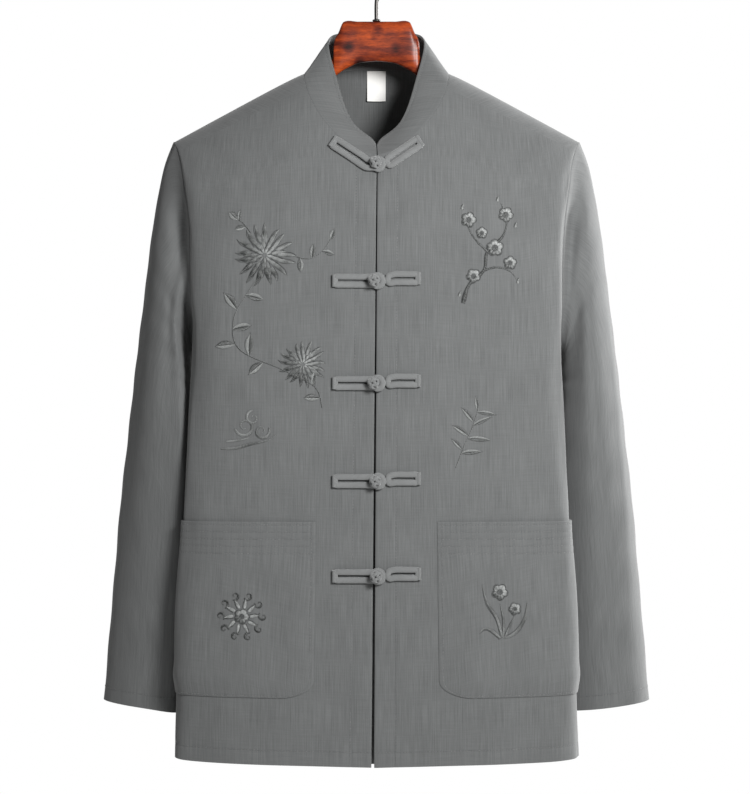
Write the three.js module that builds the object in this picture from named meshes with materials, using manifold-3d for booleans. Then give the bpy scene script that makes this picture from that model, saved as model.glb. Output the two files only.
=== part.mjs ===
// A grey tang suit jacket hanging on a wooden hanger, in millimetres, +Z up.
// The origin is the point inside the crown of the hook that rests on the rail. X runs across the jacket and
// its front faces -Y. Every cloth piece is a thin wall: its outer face is worked out from the torso form or
// from sleeve and collar sections, and its inner face lies one cloth thickness inside.
// Each half is worked out with x pointing away from the middle. side is 1 for the wearer's left half (+X)
// and -1 for the right half, whose geometry is mirrored at the end.
import * as THREE from "three";
import Module from "manifold-3d";
import { mergeVertices } from "three/addons/utils/BufferGeometryUtils.js";

const wasm = await Module();
wasm.setup();

// Cloth
const CLOTH = 1.5; // wall of the fronts, back and sleeves
const POCKET_CLOTH = 1.3;
const COLLAR_CLOTH = 2.2; // two layers of cloth with a stiffener
const SEAM_GAP = 0.6;

// Heights below the rail
const HEM_Z = -866.5;
const CHEST_Z = -400;
const UNDERARM_Z = -430;
const NECK_RIDGE_Z = -121.5; // the shoulder line carried in to the middle

// Shoulders
const SHOULDER_SLOPE = 0.545;
const SLOPE_START_X = 72;
const SLOPE_EASE = 16;
const SHOULDER_SPREAD = 0.135; // how much wider the shoulder tips are than the chest
const SHOULDER_SEAM_LEVEL = 1.75; // the seam lies in front of the ridge, which is level 2

// Neck
const NECK_HALF_WIDTH = 79;
const NECK_FRONT_DROP = 91;
const NECK_TOP_Z = -131;
const NECK_POWER = 1.6; // between a V and a round neck
const BACK_NECK = { y: 50, rise: 4.5, power: 2.2, lean: THREE.MathUtils.degToRad(66) };

// Turns round the body: 0 at centre front, 1 at the front corner, 2 at centre back
const SIDE_SEAM_TURN = 1.3;
const ARMHOLE_FRONT_TURN = 0.95;
const ARMHOLE_BACK_TURN = 1.42;
const ARMHOLE_WIDEST = 1.22; // level
const SIDE_SEAM_HALF_GAP = 0.0009;
const SHOULDER_SEAM_HALF_GAP = 0.0015;

// The front edges meet in a line that leans a little, and part towards the hem
const CENTRE_LINE = { topX: 0.8, hemX: -4, topGap: 0.5, hemGap: 1.6 };
const HEM_FRONT_DROP = 8.5;

// Outline of the body seen from above: a flat front with rounded corners and a fuller back
const FRONT_POWER = 3;
const torsoRows = [
  { row: "hem", z: HEM_Z, width: 217, front: 80, back: 98, corner: 36, backPower: 2.3 },
  { row: "pocket", z: -745, width: 212.5, front: 81, back: 92, corner: 38, backPower: 2.3 },
  { row: "waist", z: -615, width: 207, front: 82, back: 87, corner: 42, backPower: 2.3 },
  { row: "ribs", z: -500, width: 203, front: 83, back: 87, corner: 46, backPower: 2.4 },
  { row: "chest", z: CHEST_Z, width: 198.5, front: 83, back: 90, corner: 49, backPower: 3 },
];

// Soft folds. side: 1 or -1; topTurn and footTurn: where it runs; top and foot: its heights; width: half of
// its width; depth: how far it comes out (or in, where minus)
const frontFolds = [
  { side: 1, topTurn: 0.86, footTurn: 0.7, top: -395, foot: -600, width: 26, depth: -2.6 },
  { side: 1, topTurn: 0.62, footTurn: 0.5, top: -290, foot: -520, width: 36, depth: 1.8 },
  { side: -1, topTurn: 0.84, footTurn: 0.72, top: -380, foot: -560, width: 24, depth: -3.2 },
  { side: -1, topTurn: 0.66, footTurn: 0.5, top: -300, foot: -560, width: 34, depth: 2 },
  { side: -1, topTurn: 0.26, footTurn: 0, top: -680, foot: -900, width: 18, depth: -1.8 },
];
const backFolds = [
  { side: 1, topTurn: 1.93, footTurn: 1.88, top: -300, foot: -960, width: 27, depth: -9 },
  { side: 1, topTurn: 1.78, footTurn: 1.74, top: -350, foot: -930, width: 22, depth: 5.5 },
  { side: 1, topTurn: 1.65, footTurn: 1.61, top: -330, foot: -960, width: 20, depth: -7.5 },
  { side: -1, topTurn: 1.88, footTurn: 1.9, top: -420, foot: -950, width: 22, depth: 5 },
  { side: -1, topTurn: 1.76, footTurn: 1.78, top: -310, foot: -990, width: 24, depth: -8.5 },
  { side: -1, topTurn: 1.6, footTurn: 1.58, top: -380, foot: -900, width: 19, depth: -6 },
];

// Sleeve sections from the shoulder to the cuff: the outer and inner points seen from the front,
// and how far each section reaches to the front and to the back
const sleeveRows = [
  { outerX: 227, outerZ: -214, innerX: 198, innerZ: -431.5, frontY: -38, backY: 44 },
  { outerX: 235.5, outerZ: -236, innerX: 202, innerZ: -435, frontY: -38, backY: 54 },
  { outerX: 242, outerZ: -270, innerX: 204, innerZ: -439.5, frontY: -39, backY: 66 },
  { outerX: 248.5, outerZ: -318, innerX: 204, innerZ: -445, frontY: -41, backY: 78 },
  { outerX: 255, outerZ: -370, innerX: 203, innerZ: -453, frontY: -42, backY: 88 },
  { outerX: 262, outerZ: -424, innerX: 201.5, innerZ: -465, frontY: -41, backY: 95 },
  { outerX: 268.5, outerZ: -478, innerX: 200, innerZ: -486, frontY: -38, backY: 98 },
  { outerX: 275.5, outerZ: -537, innerX: 199, innerZ: -545, frontY: -31, backY: 100 },
  { outerX: 283, outerZ: -600, innerX: 199, innerZ: -609, frontY: -23, backY: 100 },
  { outerX: 289, outerZ: -668, innerX: 200, innerZ: -677, frontY: -15, backY: 98 },
  { outerX: 295.5, outerZ: -741, innerX: 201.5, innerZ: -751, frontY: -8, backY: 95 },
  { outerX: 301.7, outerZ: -814.5, innerX: 204, innerZ: -826, frontY: -3, backY: 92 },
];
const SLEEVE_RINGS = 17;
const ARMHOLE_FADE = 3; // rows over which the armhole's shape passes into the sleeve's sections
// around: 0 outer side, 0.25 front, 0.5 inner side, 0.75 back; from and to: share of the sleeve's length
const sleeveFolds = [
  { side: 1, around: 0.33, from: -0.25, to: 0.6, width: 0.055, depth: -6 },
  { side: 1, around: 0.2, from: 0.12, to: 1.1, width: 0.06, depth: -3 },
  { side: 1, around: 0.82, from: 0.05, to: 1.1, width: 0.07, depth: -5 },
  { side: -1, around: 0.31, from: -0.3, to: 0.5, width: 0.05, depth: -7 },
  { side: -1, around: 0.15, from: 0.2, to: 1.15, width: 0.07, depth: -2.5 },
  { side: -1, around: 0.79, from: 0, to: 1, width: 0.06, depth: -6 },
];
// Valleys along the armhole seam, where the empty sleeve falls back. from and to: places around; at and width:
// its middle and half width along the sleeve, counted in rows of sections
const armholeFolds = [
  { side: 1, from: 0.03, to: 0.41, at: 0.85, width: 0.6, depth: -13 },
  { side: 1, from: 0.6, to: 0.95, at: 0.9, width: 0.6, depth: -7 },
  { side: -1, from: 0.03, to: 0.5, at: 0.95, width: 0.68, depth: -15 },
  { side: -1, from: 0.6, to: 0.95, at: 0.9, width: 0.6, depth: -8 },
];

// Top edge of the collar, from the front end to centre back
const collarTop = [
  { share: 0, x: 1, y: -32, z: -204 },
  { share: 0.17, x: 26, y: -34, z: -183 },
  { share: 0.45, x: 44, y: -12, z: -131 },
  { share: 0.64, x: 52.5, y: 6, z: -91 },
  { share: 0.82, x: 37.5, y: 31, z: -79 },
  { share: 1, x: 0, y: 43.5, z: -77 },
];
const COLLAR_CORNER = 11;
const COLLAR_ROWS = 4;
const COLLAR_BULGE = 1.2;

// Patch pockets
const POCKET = { top: -613, foot: -798, innerX: 64.5, outerTurn: 1.14, corner: 19, lift: 0.9, puff: 2.2 };
const pocketColumns = [0, 0.06, 0.16, 0.28, 0.4, 0.51, 0.6, 0.68, 0.75, 0.82, 0.88, 0.94, 1];
const pocketRows = [0, 3, 8, 19, 45, 80, 118, 152, 185]; // heights above the pocket's foot

// Frog fasteners from the neck down: height of the knot, slant of both legs and how far out they reach
const frogs = [
  { z: -233, slant: 34, outer: 56 },
  { z: -357.5, slant: 0, outer: 47 },
  { z: -466, slant: 0, outer: 47 },
  { z: -570, slant: 0, outer: 47 },
  { z: -671, slant: 0, outer: 47 },
];
const CORD = { wide: 6.4, thick: 3.6, pitch: 8.6, lift: 0.7 };
const FROG_LOOP = { eye: 7.2, eyeLift: 2.3, waist: 10 };
const FROG_KNOT = { inner: 15, ball: 6.3, height: 11.6, stem: 1.8 };

// Label sewn into the back of the neck
const LABEL = { width: 20.5, height: 31.5, thick: 1, drop: 0.9, gap: 0.8 };

// Sections of the wooden hanger from the middle out
const woodRows = [
  { x: 0, top: -71, foot: -114, half: 7 },
  { x: 20, top: -71, foot: -116.5, half: 7 },
  { x: 36, top: -71.5, foot: -124, half: 7.2 },
  { x: 41.5, top: -83, foot: -128, half: 6.8 },
  { x: 46.5, top: -94, foot: -131.5, half: 5.6 },
  { x: 47.5, top: -109, foot: -132.5, half: 3.4 },
  { x: 56, top: -129, foot: -140, half: 6.5 },
  { x: 74, top: -137, foot: -152, half: 9 },
  { x: 100, top: -149, foot: -173, half: 11 },
  { x: 135, top: -167.5, foot: -198, half: 14 },
  { x: 165, top: -184.5, foot: -217, half: 14.5 },
  { x: 184, top: -196, foot: -225, half: 10.5 },
  { x: 193, top: -203.5, foot: -223, half: 5.5 },
];
const WIRE_RADIUS = 2.2;
// The centre line of the hook, up from the wood
const hookPoints = [
  { x: 0, z: -70.7 },
  { x: 0, z: -52 },
  { x: 1.5, z: -45.5 },
  { x: 9, z: -40 },
  { x: 18.5, z: -30.5 },
  { x: 22.3, z: -18 },
  { x: 18.5, z: -7 },
  { x: 10, z: 0 },
  { x: 0, z: 2.2 },
  { x: -10, z: 0 },
  { x: -18.5, z: -7 },
  { x: -22.3, z: -18 },
  { x: -21, z: -25 },
];

const ELLIPSE = 0.5523; // handle of a cubic that follows a quarter ellipse
const { lerp, clamp, degToRad, smoothstep } = THREE.MathUtils;
const point = (x, y, z) => new THREE.Vector3(x, y, z);
const moved = (p, direction, distance) => p.clone().addScaledVector(direction, distance);

// Value of a column of a table at t, on a smooth curve through its rows.
function smoothColumn(rows, key, column, t) {
  const rising = rows[0][key] < rows[rows.length - 1][key];
  const table = rising ? rows : [...rows].reverse();
  const last = table.length - 1;
  let i = 0;
  while (i < last - 1 && t > table[i + 1][key]) i += 1;
  const slope = (k) => {
    const a = table[Math.max(k - 1, 0)];
    const b = table[Math.min(k + 1, last)];
    return (b[column] - a[column]) / (b[key] - a[key]);
  };
  const step = table[i + 1][key] - table[i][key];
  const s = (t - table[i][key]) / step;
  const ends = lerp(table[i][column], table[i + 1][column], s * s * (3 - 2 * s));
  return ends + s * (s - 1) * (s - 1) * step * slope(i) + s * s * (s - 1) * step * slope(i + 1);
}

// Where a rising function crosses zero.
function solve(f, low, high) {
  for (let i = 0; i < 40; i += 1) {
    const middle = (low + high) / 2;
    if (f(middle) < 0) low = middle;
    else high = middle;
  }
  return (low + high) / 2;
}

// Unit superellipse at a polar angle measured from its second axis.
function superellipse(angle, power) {
  const s = Math.sin(angle);
  const c = Math.cos(angle);
  const r = Math.pow(Math.pow(Math.abs(s), power) + Math.pow(Math.abs(c), power), -1 / power);
  return [r * s, r * c];
}

// Point of the body's outline at a height.
function outline(turn, z) {
  const [width, front, back, corner, power] = ["width", "front", "back", "corner", "backPower"].map((column) =>
    smoothColumn(torsoRows, "z", column, z),
  );
  if (turn <= 1) {
    const [across, along] = superellipse((turn * Math.PI) / 2, FRONT_POWER);
    return [width * across, -corner - (front - corner) * along];
  }
  const [across, along] = superellipse(((2 - turn) * Math.PI) / 2, power);
  return [width * across, -corner + (back + corner) * along];
}

function ridgeZ(x) {
  const past = x - SLOPE_START_X;
  return NECK_RIDGE_Z - (SHOULDER_SLOPE * (past + Math.hypot(past, SLOPE_EASE))) / 2;
}

// The front neckline seen from the front, and where it meets the shoulder ridge.
function necklineZ(x) {
  const share = Math.pow(Math.min(1, Math.abs(x) / NECK_HALF_WIDTH), NECK_POWER);
  return NECK_TOP_Z - NECK_FRONT_DROP * Math.pow(1 - share, 1 / NECK_POWER);
}
const NECK_RIDGE_X = solve((x) => necklineZ(x) - ridgeZ(x), 50, NECK_HALF_WIDTH);

// The torso form. level runs from 0 at the hem to 1 at the chest and 2 on the shoulder ridge or back neck.
function form(turn, level) {
  if (level <= 1) {
    const z = lerp(HEM_Z, CHEST_Z, level);
    const [x, y] = outline(turn, z);
    return point(x, y, z - HEM_FRONT_DROP * Math.max(0, 1 - Math.abs(turn)) * Math.pow(1 - level, 4));
  }
  const t = level - 1;
  const [chestX, chestY] = outline(turn, CHEST_Z);
  const x = chestX * (1 + SHOULDER_SPREAD * Math.pow(t, 1.7));
  const inNeck = chestY > 0 ? Math.min(1, x / NECK_RIDGE_X) : 1;
  const near = 1 - inNeck * inNeck;
  const endY = BACK_NECK.y * Math.pow(1 - Math.pow(inNeck, BACK_NECK.power), 1 / BACK_NECK.power);
  const endZ = ridgeZ(x) + BACK_NECK.rise * near * near;
  const rise = endZ - CHEST_Z;
  const lean = BACK_NECK.lean * near;
  const handle = lerp(ELLIPSE * Math.abs(chestY - endY), 0.35 * rise, near);
  const topY = endY + Math.sign(chestY) * handle * Math.cos(lean);
  const topZ = endZ - handle * Math.sin(lean);
  const [a, b, c, d] = [(1 - t) ** 3, 3 * (1 - t) ** 2 * t, 3 * (1 - t) * t * t, t ** 3];
  return point(x, (a + b) * chestY + c * topY + d * endY, a * CHEST_Z + b * (CHEST_Z + ELLIPSE * rise) + c * topZ + d * endZ);
}

const levelOf = (z) => (z - HEM_Z) / (CHEST_Z - HEM_Z);

// How far the folds of a table move the cloth out at a point of one half.
function foldAt(folds, side, p) {
  let sum = 0;
  for (const fold of folds) {
    const s = (fold.top - p.z) / (fold.top - fold.foot);
    if (s <= 0 || s >= 1) continue;
    const centre = form(lerp(fold.topTurn, fold.footTurn, s), clamp(levelOf(p.z), 0, 1));
    const along = p.z < CHEST_Z ? p.y - centre.y : 0;
    const across = Math.hypot(side * p.x - fold.side * centre.x, along) / fold.width;
    sum += fold.depth * Math.sin(Math.PI * Math.pow(s, 0.8)) * Math.exp(-across * across);
  }
  return sum;
}

// A point of cloth: its place, its outward normal and the direction of its inner face.
const knot = (p, n) => ({ p, n, inward: n.clone().negate() });

function clothPoint(folds, side, turn, level) {
  const e = 0.003;
  const place = (u, v) => {
    const p = form(u, v);
    const move = foldAt(folds, side, p);
    if (move === 0) return p;
    const across = form(Math.min(u + e, 2), v).sub(form(u - e, v));
    const up = form(u, Math.min(v + e, 2)).sub(form(u, Math.max(v - e, 0)));
    return p.addScaledVector(across.cross(up).normalize(), move);
  };
  const across = place(Math.min(turn + e, 2), level).sub(place(turn - e, level));
  const up = place(turn, Math.min(level + e, 2)).sub(place(turn, Math.max(level - e, 0)));
  return knot(place(turn, level), across.cross(up).normalize());
}

// Two pieces that meet in a seam are cut on one line through the seam, so neither runs into the other.
function mitre(ownNormal, otherNormal) {
  const middle = ownNormal.clone().add(otherNormal).normalize();
  return middle.multiplyScalar(-1 / Math.max(0.45, middle.dot(ownNormal)));
}

// Sets the normals of a grid of points from their neighbours.
function gridOf(places, around = false) {
  const rows = places.length;
  const columns = places[0].length;
  const at = (r, c) => places[clamp(r, 0, rows - 1)][around ? (c + columns) % columns : clamp(c, 0, columns - 1)];
  return places.map((row, r) =>
    row.map((p, c) => {
      const across = at(r, c + 1).clone().sub(at(r, c - 1));
      const up = at(r + 1, c).clone().sub(at(r - 1, c));
      return knot(p, across.cross(up).normalize());
    }),
  );
}

// A closed wall from a grid of cloth points. Its edges are closed with a rim, and a missing point leaves a gap.
function wall(grid, thick, { around = false, mirrored = false } = {}) {
  const index = grid.map((row) => row.map(() => -1));
  const outer = [];
  const inner = [];
  grid.forEach((row, r) =>
    row.forEach((k, c) => {
      if (!k) return;
      index[r][c] = outer.length;
      outer.push(k.p);
      inner.push(moved(k.p, k.inward, thick));
    }),
  );
  const faces = [];
  for (let r = 0; r + 1 < grid.length; r += 1) {
    const columns = grid[0].length;
    for (let c = 0; c + (around ? 0 : 1) < columns; c += 1) {
      const d = (c + 1) % columns;
      const [i, j, k, l] = [index[r][c], index[r][d], index[r + 1][d], index[r + 1][c]];
      if (Math.min(i, j, k, l) < 0) continue;
      if (outer[i].distanceToSquared(outer[k]) <= outer[j].distanceToSquared(outer[l]))
        faces.push([i, j, k], [i, k, l]);
      else faces.push([i, j, l], [j, k, l]);
    }
  }
  const count = outer.length;
  const edges = new Set(faces.flatMap(([a, b, c]) => [`${a} ${b}`, `${b} ${c}`, `${c} ${a}`]));
  const closed = faces.flatMap(([a, b, c]) => [
    [a, b, c],
    [a + count, c + count, b + count],
  ]);
  for (const edge of edges) {
    const [a, b] = edge.split(" ").map(Number);
    if (!edges.has(`${b} ${a}`)) closed.push([b, a, a + count], [b, a + count, b + count]);
  }
  const places = [...outer, ...inner].flatMap((p) => [mirrored ? -p.x : p.x, p.y, p.z]);
  const geometry = new THREE.BufferGeometry();
  geometry.setAttribute("position", new THREE.Float32BufferAttribute(places, 3));
  geometry.setIndex(closed.flatMap(([a, b, c]) => (mirrored ? [a, c, b] : [a, b, c])));
  return geometry;
}

// A tube along a path of { p, up } with an oval section, wide across and thick along up.
function tube(path, wide, thick, { sides = 6, closed = false, mirrored = false } = {}) {
  const rings = path.map(({ p, up }, i) => {
    const before = path[closed ? (i + path.length - 1) % path.length : Math.max(i - 1, 0)].p;
    const after = path[closed ? (i + 1) % path.length : Math.min(i + 1, path.length - 1)].p;
    const along = after.clone().sub(before).normalize();
    const across = along.clone().cross(up).normalize();
    const lift = across.clone().cross(along);
    return Array.from({ length: sides }, (_, k) => {
      const angle = ((k + 0.5) / sides) * 2 * Math.PI;
      const q = moved(p, across, (Math.cos(angle) * wide) / 2);
      return q.addScaledVector(lift, (Math.sin(angle) * thick) / 2);
    });
  });
  const places = rings.flat();
  const faces = [];
  const spans = closed ? rings.length : rings.length - 1;
  for (let i = 0; i < spans; i += 1) {
    for (let k = 0; k < sides; k += 1) {
      const [a, b] = [i * sides + k, i * sides + ((k + 1) % sides)];
      const next = ((i + 1) % rings.length) * sides;
      faces.push([a, next + k, b], [b, next + k, next + ((k + 1) % sides)]);
    }
  }
  if (!closed) {
    const end = (rings.length - 1) * sides;
    for (let k = 1; k + 1 < sides; k += 1) faces.push([0, k, k + 1], [end, end + k + 1, end + k]);
  }
  const geometry = new THREE.BufferGeometry();
  const flat = places.flatMap((q) => [mirrored ? -q.x : q.x, q.y, q.z]);
  geometry.setAttribute("position", new THREE.Float32BufferAttribute(flat, 3));
  geometry.setIndex(faces.flatMap(([a, b, c]) => (mirrored ? [a, c, b] : [a, b, c])));
  return geometry;
}

function joined(...geometries) {
  const solids = geometries.map((geometry) => {
    const bare = geometry.clone();
    bare.deleteAttribute("normal");
    bare.deleteAttribute("uv");
    const merged = mergeVertices(bare, 1e-4);
    return new wasm.Manifold(
      new wasm.Mesh({
        numProp: 3,
        vertProperties: new Float32Array(merged.attributes.position.array),
        triVerts: new Uint32Array(merged.index.array),
      }),
    );
  });
  const mesh = solids.reduce((sum, solid) => sum.add(solid)).getMesh();
  const geometry = new THREE.BufferGeometry();
  geometry.setAttribute("position", new THREE.Float32BufferAttribute(mesh.vertProperties, 3));
  geometry.setIndex(Array.from(mesh.triVerts));
  return geometry;
}

const jacket = new THREE.Group();
const colours = { cloth: 0x6f7271, trim: 0x5b5e60, label: 0xf4f2ee, wood: 0x9a3f20, wire: 0x2b2725 };
const materials = {
  cloth: new THREE.MeshStandardMaterial({ color: colours.cloth, roughness: 0.92, metalness: 0 }),
  trim: new THREE.MeshStandardMaterial({ color: colours.trim, roughness: 0.8, metalness: 0 }),
  label: new THREE.MeshStandardMaterial({ color: colours.label, roughness: 0.75, metalness: 0 }),
  wood: new THREE.MeshStandardMaterial({ color: colours.wood, roughness: 0.3, metalness: 0 }),
  wire: new THREE.MeshStandardMaterial({ color: colours.wire, roughness: 0.4, metalness: 0.9 }),
};
function add(name, geometry, material) {
  const mesh = new THREE.Mesh(geometry, material);
  mesh.name = name;
  jacket.add(mesh);
}

// Levels and turns of the panels
const UNDERARM = levelOf(UNDERARM_Z);
const NECK_LEVEL = solve((level) => form(0, level).z - necklineZ(0), 1, 2);
const FRONT_TOP = SHOULDER_SEAM_LEVEL - SHOULDER_SEAM_HALF_GAP;
const BACK_TOP = SHOULDER_SEAM_LEVEL + SHOULDER_SEAM_HALF_GAP;
const even = (from, to, count) => Array.from({ length: count }, (_, i) => lerp(from, to, (i + 1) / count));
// Closer together near the start, where an edge is round.
const eased = (from, to, count) =>
  Array.from({ length: count }, (_, i) => lerp(from, to, 1 - Math.cos(((i + 1) / count) * (Math.PI / 2))));
const bodyLevels = [0, ...even(0, UNDERARM, 8)];
const frontLevels = [
  ...bodyLevels,
  ...eased(UNDERARM, ARMHOLE_WIDEST, 5),
  ...even(ARMHOLE_WIDEST, NECK_LEVEL, 2),
  ...eased(NECK_LEVEL, FRONT_TOP, 5),
];
const backLevels = [...bodyLevels, ...eased(UNDERARM, ARMHOLE_WIDEST, 4), ...even(ARMHOLE_WIDEST, 2, 5)];
const overRidgeLevels = even(2, BACK_TOP, 3);
const UNDERARM_ROW = bodyLevels.length - 1;
const NECK_ROW = frontLevels.indexOf(NECK_LEVEL);
const RIDGE_ROW = backLevels.length - 1;

// Turn at which a level of the front meets the neckline.
function necklineTurn(level) {
  return solve((turn) => {
    const p = form(turn, level);
    return p.x < NECK_HALF_WIDTH && p.z > necklineZ(p.x) ? -1 : 1;
  }, 0, 0.6);
}

// Turn of the front's free edge: the centre line, then the neckline.
function frontInner(side, level) {
  const up = clamp(level / NECK_LEVEL, 0, 1);
  const x = side * lerp(CENTRE_LINE.hemX, CENTRE_LINE.topX, up) + lerp(CENTRE_LINE.hemGap, CENTRE_LINE.topGap, up);
  const edge = solve((turn) => form(turn, level).x - x, -0.2, 0.2);
  return level > NECK_LEVEL ? Math.max(edge, necklineTurn(level)) : edge;
}

// Share of the way from the side seam to the widest place of the armhole, which is round at the underarm.
function armholeShare(level) {
  const s = clamp((level - UNDERARM) / (ARMHOLE_WIDEST - UNDERARM), 0, 1);
  return Math.sqrt(1 - (1 - s) * (1 - s));
}
const frontOuter = (level) => lerp(SIDE_SEAM_TURN - SIDE_SEAM_HALF_GAP, ARMHOLE_FRONT_TURN, armholeShare(level));

const frontTurnAt = (x) => solve((turn) => form(turn, 2).x - x, 0, 0.999);
const backTurnAt = (x) => solve((turn) => x - form(turn, 2).x, 1.02, 2);
// The tip of the shoulder is where the outline crosses the plane of the ridge.
const TIP_TURN = solve((turn) => outline(turn, CHEST_Z)[1], 1, 2);
const TIP_X = form(TIP_TURN, 2).x;
function backOuter(level) {
  const wide = lerp(SIDE_SEAM_TURN + SIDE_SEAM_HALF_GAP, ARMHOLE_BACK_TURN, armholeShare(level));
  return lerp(wide, TIP_TURN, smoothstep(level, ARMHOLE_WIDEST, 2));
}
const overRidgeOuter = (level) =>
  lerp(ARMHOLE_FRONT_TURN, frontTurnAt(TIP_X), smoothstep(level, SHOULDER_SEAM_LEVEL, 2));

// Front panel: columns stand closer together at the rounded corner.
const frontColumns = [0, 0.14, 0.27, 0.39, 0.48, 0.55, 0.61, 0.67, 0.73, 0.79, 0.86, 0.93, 1];
function frontPanel(side) {
  return frontLevels.map((level) => {
    const [inner, outer] = [frontInner(side, level), frontOuter(level)];
    return frontColumns.map((share) => clothPoint(frontFolds, side, lerp(inner, outer, share), level));
  });
}

// Back panel of one half, from the armhole to centre back. Its outer columns run on over the ridge.
const RIDGE_COLUMNS = 12;
const NECK_COLUMNS = 5;
const ridgeXs = [TIP_X, ...even(TIP_X, NECK_RIDGE_X, RIDGE_COLUMNS)];
const neckXs = Array.from({ length: NECK_COLUMNS }, (_, i) => {
  return NECK_RIDGE_X * Math.cos(((i + 1) / NECK_COLUMNS) * (Math.PI / 2));
});
function backPanel(side) {
  const tipTurn = backTurnAt(TIP_X);
  const neckTurn = backTurnAt(NECK_RIDGE_X);
  const shares = ridgeXs.map((x) => (backTurnAt(x) - neckTurn) / (tipTurn - neckTurn));
  const neckTurns = neckXs.map((x) => (x < 1 ? 2 : backTurnAt(x)));
  const behind = backLevels.map((level) => {
    const turns = [...shares.map((share) => lerp(neckTurn, backOuter(level), share)), ...neckTurns];
    return turns.map((turn) => clothPoint(backFolds, side, turn, level));
  });
  const innerTurn = frontTurnAt(NECK_RIDGE_X);
  const before = ridgeXs.map((x) => (frontTurnAt(x) - innerTurn) / (frontTurnAt(TIP_X) - innerTurn));
  const over = overRidgeLevels.map((level) => {
    const turns = before.map((share) => lerp(necklineTurn(level), overRidgeOuter(level), share));
    return [...turns.map((turn) => clothPoint([], side, turn, level)), ...neckXs.map(() => null)];
  });
  return [...behind, ...over];
}

// One half: its two panels and the seams that they give to the sleeve and the collar.
function half(side) {
  const front = frontPanel(side);
  const back = backPanel(side);
  const lastColumn = frontColumns.length - 1;
  // Armhole from the shoulder tip down the front to the underarm and up the back
  const armhole = [
    ...back.slice(RIDGE_ROW, -1).map((row) => [row[0]]),
    [back[back.length - 1][0], front[front.length - 1][lastColumn]],
    ...front.slice(UNDERARM_ROW + 1, -1).map((row) => [row[lastColumn]]).reverse(),
    [front[UNDERARM_ROW][lastColumn], back[UNDERARM_ROW][0]],
    ...back.slice(UNDERARM_ROW + 1, RIDGE_ROW).map((row) => [row[0]]),
  ];
  // Neck seam from centre front to centre back
  const neck = [
    ...front.slice(NECK_ROW, -1).map((row) => [row[0]]),
    [front[front.length - 1][0], back[back.length - 1][RIDGE_COLUMNS]],
    ...back.slice(RIDGE_ROW, -1).map((row) => [row[RIDGE_COLUMNS]]).reverse(),
    ...back[RIDGE_ROW].slice(RIDGE_COLUMNS + 1).map((k) => [k]),
  ];
  return { side, front, back, armhole, neck };
}

const meanPoint = (knots) => knots.reduce((sum, k) => sum.add(k.p), point(0, 0, 0)).divideScalar(knots.length);
const meanNormal = (knots) => knots.reduce((sum, k) => sum.add(k.n), point(0, 0, 0)).normalize();

// Fits the knots of a seam and the first row of the piece sewn to them together.
function sew(seam, row, next) {
  seam.forEach((knots, i) => {
    const ownNormal = meanNormal(knots);
    const cut = mitre(ownNormal, row[i].n).normalize();
    const away = next[i].p.clone().sub(row[i].p);
    away.addScaledVector(cut, -away.dot(cut)).normalize();
    row[i].p.addScaledVector(away, SEAM_GAP);
    row[i].inward = mitre(row[i].n, ownNormal);
    for (const k of knots) k.inward = mitre(ownNormal, row[i].n);
  });
}

// Share of the way along a line of points.
function shares(places) {
  const sums = [0];
  for (let i = 1; i < places.length; i += 1) sums.push(sums[i - 1] + places[i].distanceTo(places[i - 1]));
  return sums.map((sum) => sum / sums[sums.length - 1]);
}

function sleeveSection(v) {
  const [outerX, outerZ, innerX, innerZ, frontY, backY] = [
    "outerX", "outerZ", "innerX", "innerZ", "frontY", "backY",
  ].map((column) => smoothColumn(sleeveRows.map((row, i) => ({ ...row, i })), "i", column, v));
  const outer = point(outerX, (frontY + backY) / 2, outerZ);
  const inner = point(innerX, (frontY + backY) / 2, innerZ);
  const centre = outer.clone().lerp(inner, 0.5);
  const reach = outer.clone().sub(centre);
  const ring = Array.from({ length: 97 }, (_, i) => {
    const angle = (i / 96) * 2 * Math.PI;
    return moved(centre, reach, Math.cos(angle)).add(point(0, (-Math.sin(angle) * (backY - frontY)) / 2, 0));
  });
  const along = shares(ring);
  return (around) => {
    const i = clamp(along.findIndex((share) => share >= around), 1, ring.length - 1);
    return ring[i - 1].clone().lerp(ring[i], (around - along[i - 1]) / (along[i] - along[i - 1]));
  };
}

function sleeve({ side, armhole }) {
  const loop = armhole.map(meanPoint);
  const underarm = loop.length - (RIDGE_ROW - UNDERARM_ROW);
  const down = shares(loop.slice(0, underarm + 1));
  const up = shares([...loop.slice(underarm), loop[0]]);
  const arounds = [...down.map((share) => share / 2), ...up.slice(1, -1).map((share) => 0.5 + share / 2)];
  const lastRow = sleeveRows.length - 1;
  const first = sleeveSection(0);
  const places = Array.from({ length: SLEEVE_RINGS + 1 }, (_, i) => {
    const v = lastRow * Math.pow(i / SLEEVE_RINGS, 1.15);
    const section = sleeveSection(v);
    const fade = 1 - smoothstep(v, 0, ARMHOLE_FADE);
    const ring = arounds.map((around, k) => section(around).addScaledVector(loop[k].clone().sub(first(around)), fade));
    const centre = ring.reduce((sum, p) => sum.add(p), point(0, 0, 0)).divideScalar(ring.length);
    return ring.map((p, k) => {
      let move = 0;
      for (const fold of sleeveFolds) {
        const s = (v / lastRow - fold.from) / (fold.to - fold.from);
        if (fold.side !== side || s <= 0 || s >= 1) continue;
        const across = (arounds[k] - fold.around) / fold.width;
        move += fold.depth * Math.sin(Math.PI * s) * Math.exp(-across * across);
      }
      move *= 1 - fade;
      for (const fold of armholeFolds) {
        const s = (arounds[k] - fold.from) / (fold.to - fold.from);
        if (fold.side !== side || s <= 0 || s >= 1) continue;
        const across = (v - fold.at) / fold.width;
        move += fold.depth * Math.pow(Math.sin(Math.PI * s), 0.7) * Math.exp(-across * across) * smoothstep(v, 0, 0.4);
      }
      return moved(p, p.clone().sub(centre).normalize(), move);
    });
  });
  const grid = gridOf(places, true);
  sew(armhole, grid[0], grid[1]);
  return grid;
}

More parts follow.
